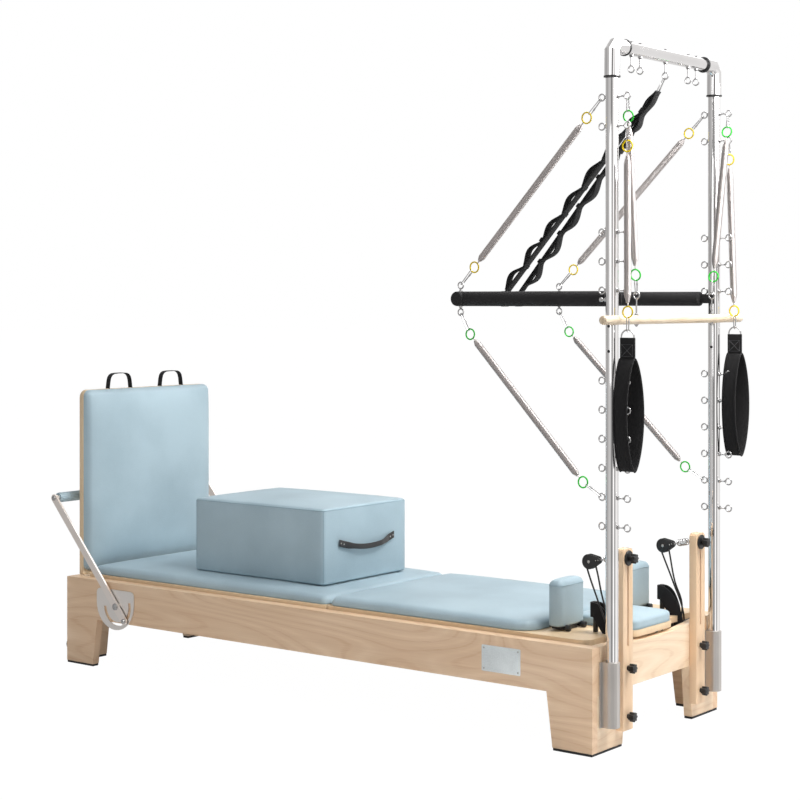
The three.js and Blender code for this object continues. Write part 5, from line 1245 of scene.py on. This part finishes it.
# Pulley blocks: two black nylon cheeks riveted over a grooved sheave, on a small coil spring.
cheek_nylon = speckled("cheek_nylon", paint(27, 27, 28), 0.34, 1300, 0.00005)
sheave_grey = speckled("sheave_grey", paint(64, 64, 66), 0.4, 1300, 0.00005)
block_x, block_z, cheek_radius, cheek_reach, cheek_wall, pin_half = 1.0435, 0.567, 0.024, 0.0405, 0.003, 0.0062
block_turns, turn_steps, turn_radius, turn_end = 9, 16, 0.0108, 0.0027
sheave_rim, sheave_wall = ((0.004, 0), (0.0165, 0), (0.0168, 0.001), (0.0128, 0.0042)), 0.0115
for side, sign in both_sides:
    y, body = sign * riser_y, "pulley_" + side
    hub, eye_end = Vector((block_x, y, block_z)), Vector((eye_x, y, knob_z))
    back = (eye_end - hub).normalized()
    turn = math.atan2(back.z, back.x)
    outline = []
    for i in range(25):
        angle = math.radians(62 + 236 * i / 24)
        outline.append((cheek_radius * math.cos(angle), cheek_radius * math.sin(angle)))
    outline += [(0.036, -0.0105), (cheek_reach, -0.0065), (cheek_reach, 0.0065), (0.036, 0.0105)]
    placed = [(block_x + a * math.cos(turn) - b * math.sin(turn),
               block_z + a * math.sin(turn) + b * math.cos(turn)) for a, b in outline]
    cheeks, dots, sheave, coil = bmesh.new(), bmesh.new(), bmesh.new(), bmesh.new()
    for way in (-1, 1):
        board(cheeks, placed, cheek_wall, plane_xz(y + way * 0.0075 + cheek_wall / 2), 0.0008)
        for reach, size in ((0.0, 0.0048), (0.027, 0.0018), (0.0355, 0.0018)):
            spot = hub + back * reach
            turned(dots, ((0, 0.0011), (size * 0.7, 0.0010), (size, 0.0003), (size, 0), (0, 0)),
                   (spot.x, y + way * 0.009, spot.z), (spot.x, y + way * 1.0, spot.z), 20)
    turned(sheave, both_ends(sheave_rim, sheave_wall),
           (block_x, y - sheave_wall / 2, block_z), (block_x, y + 1, block_z), 40)
    tail = hub + back * 0.0365
    for spot, radius, sides in ((hub, 0.004, 20), (tail, 0.005, 16)):
        bar(sheave, (spot.x, y - pin_half, spot.z), (spot.x, y + pin_half, spot.z), radius, sides=sides)
    add_piece("block_cheeks_" + side, cheeks, cheek_nylon, body, ["pulley_block_" + side])
    add_piece("block_rivets_" + side, dots, screw_steel, body)
    add_piece("block_sheave_" + side, sheave, sheave_grey, body)
    side_way, up_way = Vector((0, 1, 0)), (-back).cross(Vector((0, 1, 0)))
    eye_ring(coil, hub + back * (cheek_reach + small_eye - 0.0008), small_eye, small_wire, back,
             Vector((0, 0, 1)).cross(back).cross(back), 20)
    first = small_eye + small_wire + 0.003
    last = (eye_end - hub).length - cheek_reach - small_eye - first
    points = [eye_end - back * (first - turn_end)]
    for i in range(block_turns * turn_steps + 1):
        share = i / (block_turns * turn_steps)
        radius = turn_radius * min(1, 0.35 + min(share, 1 - share) * 6)
        angle = math.tau * i / turn_steps
        points.append(eye_end - back * (first + (last - first) * share)
                      + side_way * (radius * math.cos(angle)) + up_way * (radius * math.sin(angle)))
    points.append(eye_end - back * (last + turn_end))
    wire(coil, points, 0.0014, 8)
    add_piece("block_spring_" + side, coil, wire_chrome, body, ["pulley_spring_" + side])


# Ropes: black braided cord from the carriage over the sheave and down to the foot loop.
def braid(name):
    rope = Finish(name, Sheen_Weight=0.2, Sheen_Roughness=0.5)
    place = rope.place()
    left = rope.node("TexWave", {"bands_direction": "DIAGONAL"}, {"Vector": place, "Scale": 120.0}, "Fac")
    right = rope.node("TexWave", {"bands_direction": "DIAGONAL"},
                      {"Vector": rope.place((1, 1, -1)), "Scale": 120.0}, "Fac")
    weave = left * right
    rope.wire(Base_Color=rope.ramp(weave, (0.1, paint(16, 16, 17)), (0.8, paint(44, 44, 46))),
              Roughness=0.65 + weave * 0.2, Normal=rope.relief(weave, 0.0004, 0.7))
    return rope


cord_braid = braid("rope_braid")
strap_web = webbing("foot_loop_webbing", 2, (26, 26, 28))
rope_x, rope_z, rope_foot, rope_low, rope_apart, rope_radius = 1.115, 0.348, 1.1175, 0.302, 0.005, 0.0028
peg_x, peg_y, peg_top = 1.0505, 0.212, 0.438
strap_foot, strap_top, strap_near, strap_tip, strap_width = 0.306, 0.414, 1.1165, 1.0335, 0.046
for side, sign in both_sides:
    y = sign * riser_y
    hub = Vector((block_x, y, block_z))
    wrap_radius = 0.0125 + 0.0003 + rope_radius + 0.0003
    down = Vector((rope_x - block_x, 0, rope_z - block_z))
    length = down.length
    down = down / length
    out = Vector((down.z, 0, -down.x))

    def rope_point(reach, beside, dy):
        return hub + down * reach + out * beside + Vector((0, dy, 0))

    route = [Vector((rope_foot, y + sign * rope_apart, rope_low)), rope_point(length, 0, sign * rope_apart),
             rope_point(0.120, wrap_radius * 0.42, sign * rope_apart),
             rope_point(0.030, wrap_radius * 0.93, sign * rope_apart / 2)]
    route += [rope_point(-wrap_radius * math.sin(math.pi * i / 8), wrap_radius * math.cos(math.pi * i / 8), 0)
              for i in range(9)]
    route += [rope_point(0.030, -wrap_radius * 0.93, -sign * rope_apart / 2),
              rope_point(0.120, -wrap_radius * 0.42, -sign * rope_apart),
              Vector((rope_x, y - sign * rope_apart, rope_z + 0.030)),
              Vector((strap_near, sign * peg_y, strap_foot))]
    cord = bmesh.new()
    wire(cord, route, rope_radius, 12, smooth=True)
    add_piece("rope_cord_" + side, cord, cord_braid, "carriage", ["rope_" + side], sharp=80)

    # The foot loop is a soft band that hangs round its peg and closes where the rope is tied on.
    legs = []
    for i in range(41):
        turn_share = i / 40
        t = 1 - abs(2 * turn_share - 1)
        spread = 0.017 * math.sin(math.pi * min(1, 0.06 + t * 0.9) / 1.4) * (1 if turn_share > 0.5 else -1)
        if t > 0.86:
            spread *= math.sqrt(max(0, 1 - ((t - 0.86) / 0.14) ** 2))
        rise = math.sin(math.pi / 2 * min(1, t * 1.25)) ** 0.8
        legs.append(Vector((strap_near + (strap_tip - strap_near) * t, sign * peg_y + spread,
                            strap_foot + (strap_top - strap_foot) * rise)))
    widths = [strap_width * min(1, 0.62 + 1.6 * (1 - abs(2 * i / 40 - 1))) for i in range(41)]
    crosses = []
    for i, point in enumerate(legs):
        ahead = (legs[min(i + 1, 40)] - legs[max(i - 1, 0)]).normalized()
        level = Vector((-ahead.y, ahead.x, 0)).normalized()
        crosses.append(ahead.cross(level))
    foot_strap, peg_sleeve = bmesh.new(), bmesh.new()
    ribbon(foot_strap, legs, widths, 0.005, crosses)
    soft_loop = add_piece("foot_loop_" + side, foot_strap, strap_web, "carriage",
                          sharp=60)
    bar(peg_sleeve, (peg_x, sign * peg_y, deck_top + 0.0003), (peg_x, sign * peg_y, peg_top + 0.002), 0.0082,
        sides=24, width=0.0015)
    add_piece("peg_sleeve_" + side, peg_sleeve, knob_plastic, "carriage")
